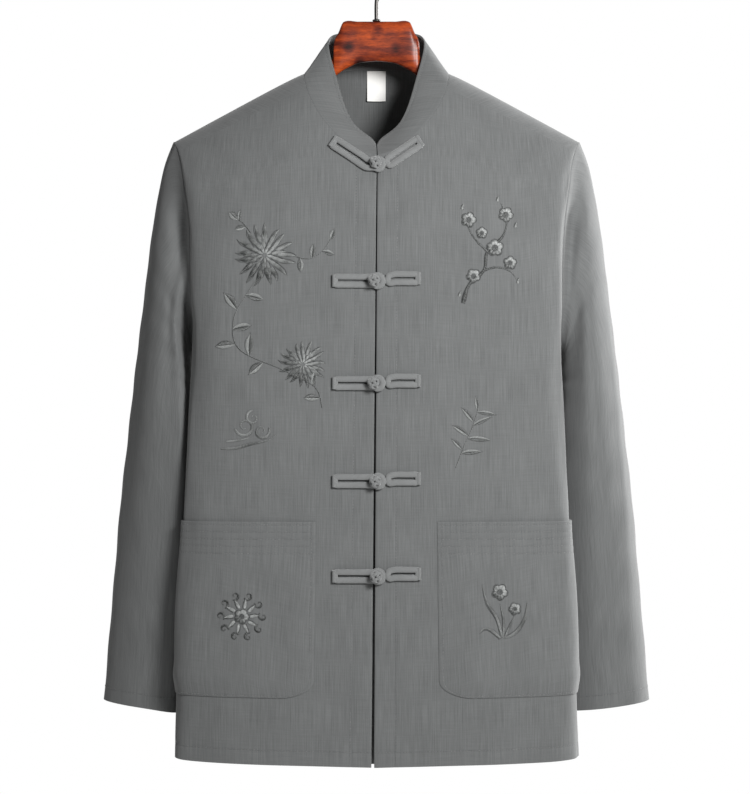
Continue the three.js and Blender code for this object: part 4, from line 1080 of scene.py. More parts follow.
def sew_rows(name, rows):
    made = [stitch_row(path, normals) for path, normals in rows]
    places, facing, along = [np.concatenate([row[i] for row in made]) for i in range(3)]
    chance = np.random.default_rng(11)
    reach = STITCH_REACH * chance.uniform(0.92, 1.06, len(places))
    tone = chance.uniform(0.2, 0.8, len(places))
    raised_places = places + facing * STITCH_LIFT
    lay_threads(name, raised_places, facing, along, reach, STITCH_WIDE, STITCH_HIGH, sewing_thread, tone)


def both(side, path, normals):
    """A path of either half, put on its own side of the middle."""
    turned = np.array([side, 1, 1])
    return path * turned, normals * turned


# Along the front edges and the hem
rows = []
for side in (1, -1):
    levels = np.linspace(0.001, NECK_LEVEL - 0.004, 600)
    inner = front_inner(side, levels)
    path, normals = cloth_at(FRONT_FOLDS, side, inner + PLACKET_STITCH / TURN_LENGTH, levels, front_fine)
    rows.append(both(side, path, normals))
    level = level_of(HEM + HEM_STITCH)
    inner = front_inner(side, np.array([level]))[0]
    turns = np.linspace(inner + 0.004, SIDE_SEAM_TURN - 0.006, 300)
    path, normals = cloth_at(FRONT_FOLDS, side, turns, level, front_fine)
    rows.append(both(side, path, normals))
    turns = np.linspace(SIDE_SEAM_TURN + 0.006, 2.0, 260)
    path, normals = cloth_at(BACK_FOLDS, side, turns, level, back_fine)
    rows.append(both(side, path, normals))
sew_rows("body_stitches", rows)

# Round the cuffs
rows = []
for side in (1, -1):
    ring = sleeves[side].places[CUFF_STITCH]
    normals = sleeves[side].normals[CUFF_STITCH]
    rows.append(both(side, np.concatenate([ring, ring[:1]]), np.concatenate([normals, normals[:1]])))
sew_rows("cuff_stitches", rows)

# Below the top edge of the collar
row = int(np.argmin(np.abs(COLLAR_SHARES - COLLAR_STITCH)))
sew_rows("collar_stitches", [(collar_panel.places[row][3:-3], collar_panel.normals[row][3:-3])])

# Five rows over each pocket's top hem, then down one side, along the foot and up the other side
rows = []
for side in (1, -1):
    for height in POCKET_ROWS_OF_STITCHES:
        shares = np.linspace(0.012, 0.988, 260)
        path, normals = pocket_cloth(side, np.full_like(shares, height), shares)
        rows.append(both(side, path, normals))
    edge = POCKET_EDGE_STITCH / POCKET_WIDE
    down = np.linspace(POCKET_TALL - 2, POCKET_EDGE_STITCH, 220)
    across = np.linspace(edge, 1 - edge, 260)
    heights = np.concatenate([down, np.full_like(across, POCKET_EDGE_STITCH), down[::-1]])
    shares = np.concatenate([np.full_like(down, edge), across, np.full_like(down, 1 - edge)])
    path, normals = pocket_cloth(side, heights, shares)
    rows.append(both(side, path, normals))
sew_rows("pocket_stitches", rows)

# Frog fasteners. Five pairs of straight frogs made of rolled strips of the same cloth, cut on the bias and sewn
# down by hand. The right front carries the loops and the left front the knots, tied as tight round balls.
# Height of the knot, slant of both legs and how far out they reach
FROGS = [(-233.0, 34.0, 56.0)] + [(height, 0.0, 47.0) for height in (-357.5, -466.0, -570.0, -671.0)]
CORD_WIDE = 6.4
CORD_THICK = 3.6
CORD_PITCH = 8.6
CORD_LIFT = 0.7
LOOP_EYE = 5.9
LOOP_EYE_LIFT = 2.3
LOOP_WAIST = 10.0
KNOT_LEG_START = 13.0
KNOT_BALL = 6.3
KNOT_HEIGHT = 11.6
KNOT_LEG_RISE = 2.6
END_BAR = 3.8


def front_spot(side, x, z):
    """Cloth of a front at a place given by what the front view shows."""
    x, z = np.broadcast_arrays(np.asarray(x, dtype=float), np.asarray(z, dtype=float))
    turn = x / TURN_LENGTH
    level = level_of(z)
    e = 0.001
    for _ in range(40):
        point = body_form(turn, level)
        turn = turn + 0.8 * e * (x - point[..., 0]) / (body_form(turn + e, level)[..., 0] - point[..., 0])
        level = level + 0.8 * e * (z - point[..., 2]) / (body_form(turn, level + e)[..., 2] - point[..., 2])
    return cloth_at(FRONT_FOLDS, side, turn, level, front_fine)


def frog_path(side, frog, spots, lifts):
    """Centre line and up directions of a cord. Each spot is out from the knot and across the leg."""
    height, slant, _ = frog
    out, across = np.array(spots).T
    angle = math.radians(slant) * eased((out - 2) / 14)
    bent = np.maximum(0, out - 9)
    x = np.minimum(out, 9) + bent * np.cos(angle) - across * np.sin(angle)
    z = height + bent * np.sin(angle) + across * np.cos(angle)
    if side > 0 and slant == 0:
        z = z + KNOT_LEG_RISE * eased((out - 6) / 14)
    places, normals = front_spot(side, x, z)
    return places + normals * (np.asarray(lifts) + CORD_THICK / 2)[:, None], normals


def smooth_path(points, steps, closed=False):
    """A smooth curve through rows of points, in even steps between them."""
    count = len(points)
    made = []
    for i in range(count if closed else count - 1):
        if closed:
            a, b, c, d = [points[(i + k) % count] for k in (-1, 0, 1, 2)]
        else:
            a, b, c, d = [points[min(max(i + k, 0), count - 1)] for k in (-1, 0, 1, 2)]
        for t in np.arange(steps) / steps:
            made.append(0.5 * (2 * b + (c - a) * t + (2 * a - 5 * b + 4 * c - d) * t * t
                               + (3 * b - a - 3 * c + d) * t ** 3))
    if not closed:
        made.append(points[-1])
    return np.array(made)


def tube_faces(rings, sides, closed=False):
    """Faces round a run of rings, with a cap at each end of an open one."""
    faces = []
    for i in range(rings if closed else rings - 1):
        for j in range(sides):
            near, far, other = i * sides, (i + 1) % rings * sides, (j + 1) % sides
            faces.append([near + j, far + j, far + other, near + other])
    if not closed:
        faces.append(list(range(sides)))
        faces.append([(rings - 1) * sides + j for j in range(sides)][::-1])
    return faces


def cord_mesh(path, ups, wide, thick, closed=False, sides=12, squareness=2.0):
    """A cord round its centre line: points, faces and flat map."""
    ahead = np.roll(path, -1, axis=0) if closed else np.concatenate([path[1:], path[-1:]])
    behind = np.roll(path, 1, axis=0) if closed else np.concatenate([path[:1], path[:-1]])
    along = unit(ahead - behind)
    across = unit(np.cross(along, ups))
    lift = np.cross(across, along)
    ends = np.append(np.linalg.norm(np.diff(path, axis=0), axis=1), np.linalg.norm(path[0] - path[-1]))
    run_length = np.concatenate([[0], np.cumsum(ends)])
    girth = math.pi * (wide + thick) / 2
    points, maps = [], []
    for q in range(len(path)):
        for j in range(sides):
            u, v = superellipse(np.array((j + 0.5) / sides * 2 * math.pi), squareness)
            points.append(path[q] + across[q] * v * wide / 2 + lift[q] * u * thick / 2)
    for q in range(len(path) if closed else len(path) - 1):
        begin, end = run_length[q:q + 2]
        for j in range(sides):
            near, far = j / sides * girth, (j + 1) / sides * girth
            # The strip is cut on the bias, so its weave lies at 45 degrees to the cord
            corners = [(near, begin), (near, end), (far, end), (far, begin)]
            maps.append([((a + b) * 0.0007071, (b - a) * 0.0007071) for a, b in corners])
    if not closed:
        maps += [[(0.0, 0.0)] * sides] * 2
    return points, tube_faces(len(path), sides, closed), maps


def cord_piece(name, parts, material, mirrored=False):
    points, faces, maps = [], [], []
    for part_points, part_faces, part_maps in parts:
        start = len(points)
        points += list(part_points)
        faces += [[k + start for k in face] for face in part_faces]
        maps += part_maps
    return solid_piece(name, points, faces, material, 60, maps, mirrored)


bias_cloth = woven(
    "bias_strip", (0.1, 0.103, 0.103), (0.215, 0.22, 0.22), CLOTH_THREADS, slub=0.25, crinkle=0.6, sheen=0.5
)


def frog_leg(frog, start, pinch):
    """Two runs of cord side by side, joined square at the outer end."""
    run_apart = CORD_PITCH / 2
    end = frog[2] - CORD_WIDE / 2
    outs = [20, 30, 38, end - 2.2]
    spots = [(start, -run_apart * pinch)] + [(a, -run_apart) for a in outs]
    spots += [(end, -run_apart + 1.3), (end, run_apart - 1.3)]
    spots += [(a, run_apart) for a in outs[::-1]] + [(start, run_apart * pinch)]
    return spots


def doubled_cord(side, frog, spots, lifts):
    """A cord that runs through the spots and back to the first."""
    path, ups = frog_path(side, frog, spots, lifts)
    smooth = smooth_path(np.concatenate([path, ups], axis=1), 4, closed=True)
    return cord_mesh(smooth[:, :3], unit(smooth[:, 3:]), CORD_WIDE, CORD_THICK, closed=True, squareness=2.4)


def end_bar(side, frog):
    """The cut ends, folded over as a narrow raised bar across both runs."""
    out = frog[2] - END_BAR / 2
    half = CORD_PITCH / 2 + CORD_WIDE / 2 - 1.1
    spots = [(out, across) for across in np.linspace(-half, half, 7)]
    path, ups = frog_path(side, frog, spots, np.full(7, CORD_LIFT + 0.55))
    return cord_mesh(path, ups, END_BAR, CORD_THICK, squareness=3.0)


def ball_knot(centre, up, radius):
    """A button knot: one cord that passes over and under itself round a ball."""
    ref = np.array([1.0, 0.0, 0.0])
    across = unit(np.cross(up, ref))
    beside = np.cross(across, up)
    thick = 3.3
    t = np.linspace(0, 6 * math.pi, 150, endpoint=False)
    rise = 0.98 * np.sin(4 * t / 3)
    out = radius - thick / 2 + 0.55 * np.cos(8 * t / 3 + 0.4)
    ring = np.cos(rise)[:, None] * (np.cos(t)[:, None] * across + np.sin(t)[:, None] * beside)
    away = ring + np.sin(rise)[:, None] * up
    path = centre + away * out[:, None]
    return path, unit(away)


for number, frog in enumerate(FROGS, start=1):
    # The loop, on the right front
    leg = frog_leg(frog, LOOP_WAIST, 1.0)
    eye = [
        (LOOP_EYE * math.cos(math.radians(a)) - 1, LOOP_EYE * math.sin(math.radians(a)))
        for a in (50, 80, 110, 140, 180, 220, 250, 280, 310)
    ]
    spots = np.array(leg + eye)
    lifts = CORD_LIFT + LOOP_EYE_LIFT * (1 - eased((spots[:, 0] - 2) / 12))
    parts = [doubled_cord(-1, frog, spots, lifts), end_bar(-1, frog)]
    loop = cord_piece(f"frog_{number}_loop_cord", parts, bias_cloth, mirrored=True)
    worn(loop, "cord", f"frog_{number}_loop")
    # The knot, on the left front, with its stem passing under the loop
    leg = frog_leg(frog, KNOT_LEG_START, 0.8)
    parts = [doubled_cord(1, frog, leg, np.full(len(leg), CORD_LIFT)), end_bar(1, frog)]
    under_loop = [(15, 0), (10, 0), (5, 0), (1, 0)]
    path, ups = frog_path(1, frog, under_loop, np.full(4, CORD_LIFT - CORD_THICK + 1.1))
    parts.append(cord_mesh(path, ups, 5.0, 2.0))
    base, up = frog_path(1, frog, [(0.5, 0)], [0.0])
    base, up = base[0], up[0]
    shank = np.array([base, base + up * (KNOT_HEIGHT - 5)])
    parts.append(cord_mesh(shank, np.array([[0, 0, 1.0]] * 2), 4.0, 4.0))
    path, ups = ball_knot(base + up * (KNOT_HEIGHT - CORD_THICK / 2), up, KNOT_BALL)
    parts.append(cord_mesh(path, ups, 3.5, 3.1, closed=True, sides=10))
    knot = cord_piece(f"frog_{number}_knot_cord", parts, bias_cloth)
    worn(knot, "cord", f"frog_{number}_knot")

# Embroidery. Satin stitch in grey thread on the chest and the pockets, with stems in stem stitch and dark
# outlines: chrysanthemums, a plum branch, bamboo, a scrolled cloud, a round rosette and an orchid. It is sewn
# flat to the cloth and catches the light along its threads. The blooms and stems also carry painted light and
# shade: their threads are lighter on the side towards the upper right and darker on the far side.
SATIN_PITCH = 0.5
SATIN_WIDE = 0.62
SATIN_HIGH = 0.75
SATIN_LIFT = 0.15
OUTLINE_REACH = 3.0
OUTLINE_TONE = 0.02
embroidery_thread = thread_finish(
    "embroidery_thread", (0.012, 0.014, 0.013), (0.32, 0.33, 0.325), roughness=0.38, sheen=0.1, specular=0.55
)


def evenly(points, pitch):
    """Even steps along a smooth curve through flat points: places, directions and share of the way."""
    curve = smooth_path(np.array(points, dtype=float), 14)
    steps = np.concatenate([[0], np.cumsum(np.linalg.norm(np.diff(curve, axis=0), axis=1))])
    at = np.arange(pitch / 2, steps[-1], pitch)
    places = np.stack([np.interp(at, steps, curve[:, i]) for i in (0, 1)], axis=-1)
    ahead = np.stack([np.interp(at + 0.4, steps, curve[:, i]) for i in (0, 1)], axis=-1)
    behind = np.stack([np.interp(at - 0.4, steps, curve[:, i]) for i in (0, 1)], axis=-1)
    return places, unit(ahead - behind), at / steps[-1]


def sideways(ahead):
    return np.stack([-ahead[:, 1], ahead[:, 0]], axis=-1)


def threads(starts, ends, tone):
    tone = np.broadcast_to(np.asarray(tone, dtype=float), len(starts))
    return np.concatenate([starts, ends, tone[:, None]], axis=1)


def satin(points, wide, tone, slant=0.45, root=0.25):
    """A tapering strip filled with threads that cross it on a slant."""
    places, ahead, share = evenly(points, SATIN_PITCH)
    taper = root + (1 - root) * np.sin(math.pi * share ** 0.75)
    half = wide / 2 * taper * np.sqrt(np.clip(1.05 - share, 0, 1))
    reach = (sideways(ahead) + slant * ahead) * half[:, None]
    return threads(places - reach, places + reach, tone + 0.12 * np.sin(9 * share))


def leaf(points, wide, light, dark):
    """Two rows of slanting threads that meet at a vein."""
    places, ahead, share = evenly(points, SATIN_PITCH)
    half = (wide / 2 * np.sin(math.pi * np.clip(share, 0.03, 0.97) ** 0.7))[:, None]
    across = sideways(ahead)
    return [
        threads(places, places + (across + 0.8 * ahead) * half, light),
        threads(places, places + (0.8 * ahead - across) * half, dark),
    ]


def stem(points, tone, reach=OUTLINE_REACH):
    """Stem stitch: short threads one after another along a line."""
    places, ahead, _ = evenly(points, reach * 0.8)
    return threads(places - ahead * reach / 2, places + ahead * reach / 2, tone)


def petal_line(root, angle, length, bend):
    """A petal's middle line, which bends to one side towards its tip."""
    ahead = np.array([math.cos(angle), math.sin(angle)])
    beside = np.array([-ahead[1], ahead[0]])
    return [root + ahead * length * s + beside * bend * length * s * s for s in (0.0, 0.35, 0.7, 1.0)]


def outlined(points, wide, tone):
    """A satin petal with a dark line along one side."""
    edge = [np.array(p) + sideways(np.array([q - p]))[0] / max(1e-6, np.linalg.norm(q - p)) * wide * 0.42
            for p, q in zip(points[:-1], points[1:])]
    return [satin(points, wide, tone), stem(edge + [points[-1]], OUTLINE_TONE, 2.2)]


def chrysanthemum(centre, radius, turn):
    centre = np.array(centre, dtype=float)
    sewn = []
    for count, inner, outer, wide, tone in (
        (17, 0.42, 1.0, 0.2, 0.3), (13, 0.24, 0.72, 0.17, 0.42), (9, 0.08, 0.42, 0.13, 0.6),
    ):
        for i in range(count):
            angle = turn + 2 * math.pi * (i + 0.37 * count) / count
            reach = radius * (outer - inner) * (1 + 0.12 * math.sin(5.1 * i + turn))
            root = centre + radius * inner * np.array([math.cos(angle), math.sin(angle)])
            line = petal_line(root, angle, reach, 0.16 * math.sin(2.3 * i))
            # Painted light and shade: petals that point towards the upper right get a lighter thread tone and those
            # pointing away a darker one
            sewn += outlined(line, radius * wide, tone + 0.2 * math.cos(angle - 0.7))
    return sewn


def plum_blossom(centre, radius, turn):
    """Five round petals of radiating threads, with a star of stamens."""
    angles = np.arange(0, 2 * math.pi, SATIN_PITCH / radius)
    rim = radius * (0.66 + 0.34 * np.abs(np.sin(2.5 * (angles - turn))) ** 0.6)
    away = np.stack([np.cos(angles), np.sin(angles)], axis=-1)
    centre = np.array(centre, dtype=float)
    # Painted light and shade: threads on the side of the blossom towards the upper right are lighter and those on
    # the far side darker, with a finer ripple of tone round it
    tone_and_painted_light = 0.45 + 0.3 * np.cos(angles - 0.8) + 0.12 * np.sin(10 * angles)
    sewn = [threads(centre + away * radius * 0.3, centre + away * rim[:, None], tone_and_painted_light)]
    outline = np.append(np.arange(0, len(angles), 3), 0)
    edge = centre + away[outline] * (rim[outline, None] + 0.5)
    sewn.append(threads(edge[:-1], edge[1:], OUTLINE_TONE))
    for i in range(7):
        way = np.array([math.cos(turn + i * 0.9), math.sin(turn + i * 0.9)])
        sewn.append(threads((centre + way * 0.4)[None], (centre + way * radius * 0.42)[None], 0.03))
    return sewn


def scroll(centre, radius, start, turns, wide, tone):
    """A volute that curls in, as at the head of a cloud."""
    angles = start + np.linspace(0, 1, 13) * turns * 2 * math.pi
    radii = radius * (1 - 0.82 * np.linspace(0, 1, 13))
    line = [np.array(centre) + r * np.array([math.cos(a), math.sin(a)]) for r, a in zip(radii, angles)]
    return [satin(line, wide, tone, root=0.5), stem(line[:-2], OUTLINE_TONE)]


def sprig(points, leaves, tone):
    """A stem with leaves. leaves: share of the way, angle to the stem, length, width"""
    places, ahead, _ = evenly(points, 1.0)
    # A dark stem with a lighter copy beside it towards the upper right: a painted highlight on the side of the stem
    # that faces the light
    sewn = [stem(points, 0.05), stem([np.array(p) + (0.5, 0.4) for p in points], tone)]
    for at, angle, length, wide in leaves:
        i = int(at * (len(places) - 1))
        heading = math.atan2(ahead[i][1], ahead[i][0]) + math.radians(angle)
        line = petal_line(places[i], heading, length, 0.12 if angle > 0 else -0.12)
        sewn += leaf(line, wide, tone + 0.15, tone - 0.2)
        sewn.append(stem(line, 0.01, 2.4))
    return sewn


def branch(points, wide):
    """A bare branch: a dark strip with a lighter edge."""
    places, ahead, share = evenly(points, SATIN_PITCH)
    half = (wide / 2 * (1 - 0.75 * share) * (1 + 0.2 * np.sin(31 * share)))[:, None]
    across = sideways(ahead)
    return [threads(places - across * half, places + across * half, 0.08), stem(points, 0.5)]


def pocket_spot(side, x, z):
    """Cloth of a pocket at a place given by what the front view shows."""
    heights = z - POCKET_FOOT
    shares = (x - POCKET_INNER_X) / 150
    e = 0.002
    for _ in range(16):
        places, _ = pocket_cloth(side, heights, shares)
        beside, _ = pocket_cloth(side, heights, shares + e)
        shares = np.clip(shares + 0.8 * e * (x - places[..., 0]) / (beside - places)[..., 0], 0.01, 0.98)
        heights = np.clip(heights + z - places[..., 2], 1, POCKET_TALL - 1)
    return pocket_cloth(side, heights, shares)


def embroider(name, side, spot, sewn):
    """Sews the threads on the cloth that shows them. x grows to the viewer's right, z up."""
    rows = np.concatenate(sewn)
    starts, start_normals = spot(side, side * rows[:, 0], rows[:, 1])
    ends, end_normals = spot(side, side * rows[:, 2], rows[:, 3])
    turned = np.array([side, 1, 1])
    facing = unit(start_normals + end_normals) * turned
    middle = (starts + ends) / 2 * turned
    length = np.linalg.norm(ends - starts, axis=1)
    chance = np.random.default_rng(len(rows))
    # Each thread keeps its listed tone, with the painted highlights and shade of the blooms and stems, plus a little
    # chance
    tone = np.clip(rows[:, 4] + chance.normal(0, 0.05, len(rows)), 0, 1)
    # Longer threads arch a little higher
    places = middle + facing * (SATIN_LIFT + 0.02 * length)[:, None]
    along = unit((ends - starts) * turned)
    lay_threads(name, places, facing, along, length + 0.35, SATIN_WIDE, SATIN_HIGH, embroidery_thread, tone)


# On the wearer's right chest: two blooms, a curving stem with leaves and two small sprigs
chest_spray = chrysanthemum((-119, -330), 33, 0.3) + chrysanthemum((-78, -446), 25, 1.1)
chest_spray += sprig(
    [(-58, -492), (-66, -470), (-100, -452), (-146, -430), (-152, -398), (-136, -368), (-124, -352)],
    [(0.05, 70, 17, 8), (0.13, -60, 16, 7), (0.42, 55, 20, 9), (0.5, -60, 24, 10), (0.6, 62, 21, 9),
     (0.68, -70, 20, 9), (0.79, 58, 22, 10), (0.88, -64, 19, 8)],
    0.42,
)
chest_spray += sprig(
    [(-134, -306), (-142, -296), (-150, -290)], [(0.4, 60, 12, 6), (0.9, 0, 13, 8), (0.85, -55, 11, 5)], 0.45
)
chest_spray += sprig(
    [(-92, -330), (-72, -334), (-58, -326), (-48, -312)],
    [(0.2, -65, 15, 7), (0.45, 60, 15, 7), (0.7, -55, 13, 6), (0.98, 5, 13, 7)], 0.4,
)
embroider("embroidery_right_chest", -1, front_spot, chest_spray)

# Below it, a cloud of three scrolls with a long tail
cloud = scroll((-140, -512), 11, 3.4, 1.3, 4.2, 0.45) + scroll((-122, -517), 9, 0.4, -1.25, 3.8, 0.35)
cloud += scroll((-131, -503), 8, 1.6, 1.2, 3.4, 0.55)
cloud.append(satin([(-166, -536), (-150, -535), (-134, -531), (-116, -527), (-106, -520)], 4.2, 0.3))
cloud.append(satin([(-160, -528), (-148, -527), (-134, -524)], 3.0, 0.5))
embroider("embroidery_right_waist", -1, front_spot, cloud)

# On the wearer's left chest: a plum branch in flower
plum = branch([(92, -381), (98, -362), (114, -346), (118, -326), (134, -310), (139, -292), (133, -274)], 5.0)
plum += branch([(114, -346), (128, -343), (142, -347), (149, -356)], 2.6)
plum += branch([(118, -326), (106, -314), (98, -300), (99, -284)], 2.6)
for spot_x, spot_z, radius, turn in (
    (103, -352, 7.5, 0.2), (126, -322, 9.0, 1.0), (142, -338, 7.0, 2.1), (98, -292, 8.0, 0.6), (138, -286, 8.0, 1.7),
    (112, -306, 6.0, 0.9),
):
    plum += plum_blossom((spot_x, spot_z), radius, turn)
for bud in ((88, -374), (150, -360), (129, -272), (91, -281), (148, -300)):
    plum += outlined(petal_line(np.array(bud, dtype=float), 1.2, 6.0, 0.1), 4.0, 0.6)
embroider("embroidery_left_chest", 1, front_spot, plum)

# Below it, a spray of bamboo
bamboo = sprig(
    [(84, -556), (92, -535), (101, -515), (108, -493)],
    [(0.25, -58, 22, 6), (0.3, 60, 17, 5), (0.5, -62, 25, 6), (0.55, 75, 21, 6), (0.72, -40, 22, 5),
     (0.78, 52, 20, 6), (0.98, 18, 15, 5), (0.95, -75, 20, 5)],
    0.4,
)
embroider("embroidery_left_waist", 1, front_spot, bamboo)

# On the right pocket, a round rosette inside a ring of scrolls
middle = np.array([-143.4, -714.0])
rosette = plum_blossom(middle, 8.0, 0.5)
for i in range(10):
    angle = 2 * math.pi * i / 10
    way = np.array([math.cos(angle), math.sin(angle)])
    rosette += outlined(petal_line(middle + way * 9, angle, 9.5, 0.15), 5.0, 0.78)
    rosette += scroll(middle + way * 23.0, 4.8, angle + 2.4, 1.0, 3.2, 0.08)
embroider("embroidery_right_pocket", -1, pocket_spot, rosette)

# On the left pocket, an orchid with long leaves
orchid = plum_blossom((131, -688), 8.5, 0.4) + plum_blossom((147, -706), 6.5, 1.3)
for line, wide in (
    ([(134, -737), (128, -716), (118, -700), (112, -680)], 5.0),
    ([(135, -737), (135, -718), (131, -700)], 3.4),
    ([(136, -737), (142, -724), (147, -712)], 3.4),
    ([(137, -737), (149, -730), (158, -716), (160, -700)], 5.0),
    ([(132, -737), (122, -729), (114, -727), (109, -732)], 4.4),
):
    orchid += outlined([np.array(p, dtype=float) for p in line], wide, 0.35)
embroider("embroidery_left_pocket", 1, pocket_spot, orchid)

# Neck label. A small blank white label, sewn inside the back of the neck with one row of stitches along its
# top. It hangs a little free of the cloth below them.
LABEL_WIDE = 20.5
LABEL_TALL = 31.5
LABEL_THICK = 1.0
label_us = np.linspace(-0.5, 0.5, 15)
label_vs = np.array([0, 0.03, 0.08, 0.2, 0.35, 0.5, 0.65, 0.8, 0.92, 0.97, 1.0])
label_top = float(body_form(2.0, 2.0)[2]) - 0.9
label_places = []
for v in label_vs:
    z = label_top - LABEL_TALL * (1 - v)
    level = float(crossing(lambda t: body_form(2.0, t)[..., 2] - z, 1.0, 2.0))
    xs = np.abs(label_us) * LABEL_WIDE
    turns = crossing(lambda turn: xs - body_form(turn, level)[..., 0], np.full_like(xs, 1.5), np.full_like(xs, 2.0))
    places, normals = cloth_at(BACK_FOLDS, 1, turns, level, back_fine)
    inside = places - normals * (CLOTH + 0.6 + 2.9 * (1 - v) ** 1.4)
    inside[:, 0] = label_us * LABEL_WIDE
    label_places.append(inside)
label_places = np.array(label_places)
label_panel = Panel(label_places, grid_normals(label_places))
label_satin = woven(
    "label_satin", (0.8, 0.79, 0.76), (0.95, 0.945, 0.92), 2600, slub=0.2, crinkle=0.2, bump=(0.3, 0.0002),
    roughness=0.5, sheen=0.2, specular=0.5,
)
label = wall("neck_label_cloth", label_panel, LABEL_THICK, label_satin)
worn(label, "label", "neck_label")
inner_face = label_places - label_panel.normals * LABEL_THICK
sew_rows("label_stitches", [(inner_face[-2], -label_panel.normals[-2])])

# Hanger. One shaped piece of red-brown hardwood under a glossy clear varnish: a tall head that shows above the
# collar, and two arms that widen where they carry the shoulders.
# x, top, foot and half thickness
WOOD_SECTIONS = np.array([
    (0, -71.0, -114.0, 7.0), (20, -71.0, -116.5, 7.0), (36, -71.5, -124.0, 7.2), (41.5, -83.0, -128.0, 6.8),
    (46.5, -94.0, -131.5, 5.6), (47.5, -109.0, -132.5, 3.4), (56, -129.0, -140.0, 6.5), (74, -137.0, -152.0, 9.0),
    (100, -149.0, -173.0, 11.0), (135, -167.5, -198.0, 14.0), (165, -184.5, -217.0, 14.5),
    (184, -196.0, -225.0, 10.5), (193, -203.5, -223.0, 5.5),
])
WOOD_SIDES = 44
half_xs = np.unique(np.concatenate([np.linspace(0, 193, 110), WOOD_SECTIONS[:, 0], np.linspace(34, 58, 50)]))
wood_xs = np.concatenate([-half_xs[:0:-1], half_xs])
wood_points = []
for x in wood_xs:
    top, foot, half = [float(smooth_column(WOOD_SECTIONS, i, np.array(abs(x)))) for i in (1, 2, 3)]
    angles = (np.arange(WOOD_SIDES) + 0.5) / WOOD_SIDES * 2 * math.pi
    ys, zs = superellipse(angles, 3.4)
    ring = np.stack([np.full(WOOD_SIDES, x), half * ys, (top + foot) / 2 + (top - foot) / 2 * zs], axis=-1)
    wood_points.append(ring)
# The ends of the arms are rounded over
ends = {-1: [], 1: []}
for sign, ring in ((-1, wood_points[0]), (1, wood_points[-1])):
    middle = ring.mean(axis=0)
    for step, share in ((1.2, 0.93), (2.2, 0.75), (2.8, 0.45), (3.0, 0.12)):
        ends[sign].append(middle + (ring - middle) * share + (sign * step, 0, 0))
wood_points = np.array(ends[-1][::-1] + wood_points + ends[1])
wood_faces = tube_faces(len(wood_points), WOOD_SIDES)
red_wood, nodes, links, shader = new_material("varnished_red_wood")
place = nodes.new("ShaderNodeTexCoord").outputs["Object"]
grain = stretched_noise(nodes, links, place, (26.0, 60.0, 150.0), detail=5.0, roughness=0.62, seed=2.0)
figure = stretched_noise(nodes, links, place, (17.0, 30.0, 22.0), seed=9.0)
pores = stretched_noise(nodes, links, place, (240.0, 500.0, 1900.0), seed=4.0)
knots = nodes.new("ShaderNodeTexVoronoi")
knots.feature = "SMOOTH_F1"
knots.inputs["Scale"].default_value = 46.0
knots.inputs["Smoothness"].default_value = 0.4
links.new(place, knots.inputs["Vector"])
spot = nodes.new("ShaderNodeMapRange")
spot.inputs["From Min"].default_value = 0.1
spot.inputs["From Max"].default_value = 0.34
spot.inputs["To Min"].default_value = 0.5
spot.inputs["To Max"].default_value = 0.0
links.new(knots.outputs["Distance"], spot.inputs["Value"])
mixed = math_node(nodes, links, "MULTIPLY_ADD", grain, 0.62, math_node(nodes, links, "MULTIPLY", figure, 0.62))
mixed = math_node(nodes, links, "SUBTRACT", mixed, math_node(nodes, links, "MULTIPLY", spot.outputs[0], 0.32))
ramp = nodes.new("ShaderNodeValToRGB")
ramp.color_ramp.elements[0].position = 0.36
ramp.color_ramp.elements[0].color = (0.02, 0.005, 0.004, 1)
ramp.color_ramp.elements[1].position = 0.86
ramp.color_ramp.elements[1].color = (0.56, 0.095, 0.01, 1)
for position, colour in ((0.52, (0.12, 0.018, 0.008, 1)), (0.66, (0.32, 0.05, 0.011, 1))):
    ramp.color_ramp.elements.new(position).color = colour
links.new(mixed, ramp.inputs["Fac"])
dark = nodes.new("ShaderNodeMix")
dark.data_type = "RGBA"
dark.blend_type = "MULTIPLY"
dark.inputs["Factor"].default_value = 0.35
links.new(ramp.outputs["Color"], dark.inputs["A"])
pore_tone = nodes.new("ShaderNodeValToRGB")
pore_tone.color_ramp.elements[0].position = 0.34
pore_tone.color_ramp.elements[1].position = 0.5
links.new(pores, pore_tone.inputs["Fac"])
links.new(pore_tone.outputs["Color"], dark.inputs["B"])
links.new(dark.outputs["Result"], shader.inputs["Base Color"])
raised(nodes, links, shader, pores, 0.12, 0.0003)
surface(shader, {"Roughness": 0.34, "Coat Weight": 0.1, "Coat Roughness": 0.22, "Specular IOR Level": 0.12})
wood = solid_piece("hanger_wood_piece", wood_points.reshape(-1, 3), wood_faces, red_wood, 40)
worn(wood, "wood", "hanger_wood")

# Hook. Dark steel wire screwed into the head of the hanger and bent into an open crook, whose crown rests on
# the rail. A turned collar covers the hole.
WIRE_RADIUS = 2.2
HOOK_LINE = np.array([
    (0, -70.7), (0, -52), (1.5, -45.5), (9, -40), (18.5, -30.5), (22.3, -18), (18.5, -7), (10, 0), (0, 2.2),
    (-10, 0), (-18.5, -7), (-22.3, -18), (-21, -25),
], dtype=float)
centre_line = smooth_path(np.stack([HOOK_LINE[:, 0], 0 * HOOK_LINE[:, 0], HOOK_LINE[:, 1]], axis=-1), 9)
ups = np.tile(np.array([0, 1.0, 0]), (len(centre_line), 1))
shaft = cord_mesh(centre_line, ups, 2 * WIRE_RADIUS, 2 * WIRE_RADIUS, sides=18)
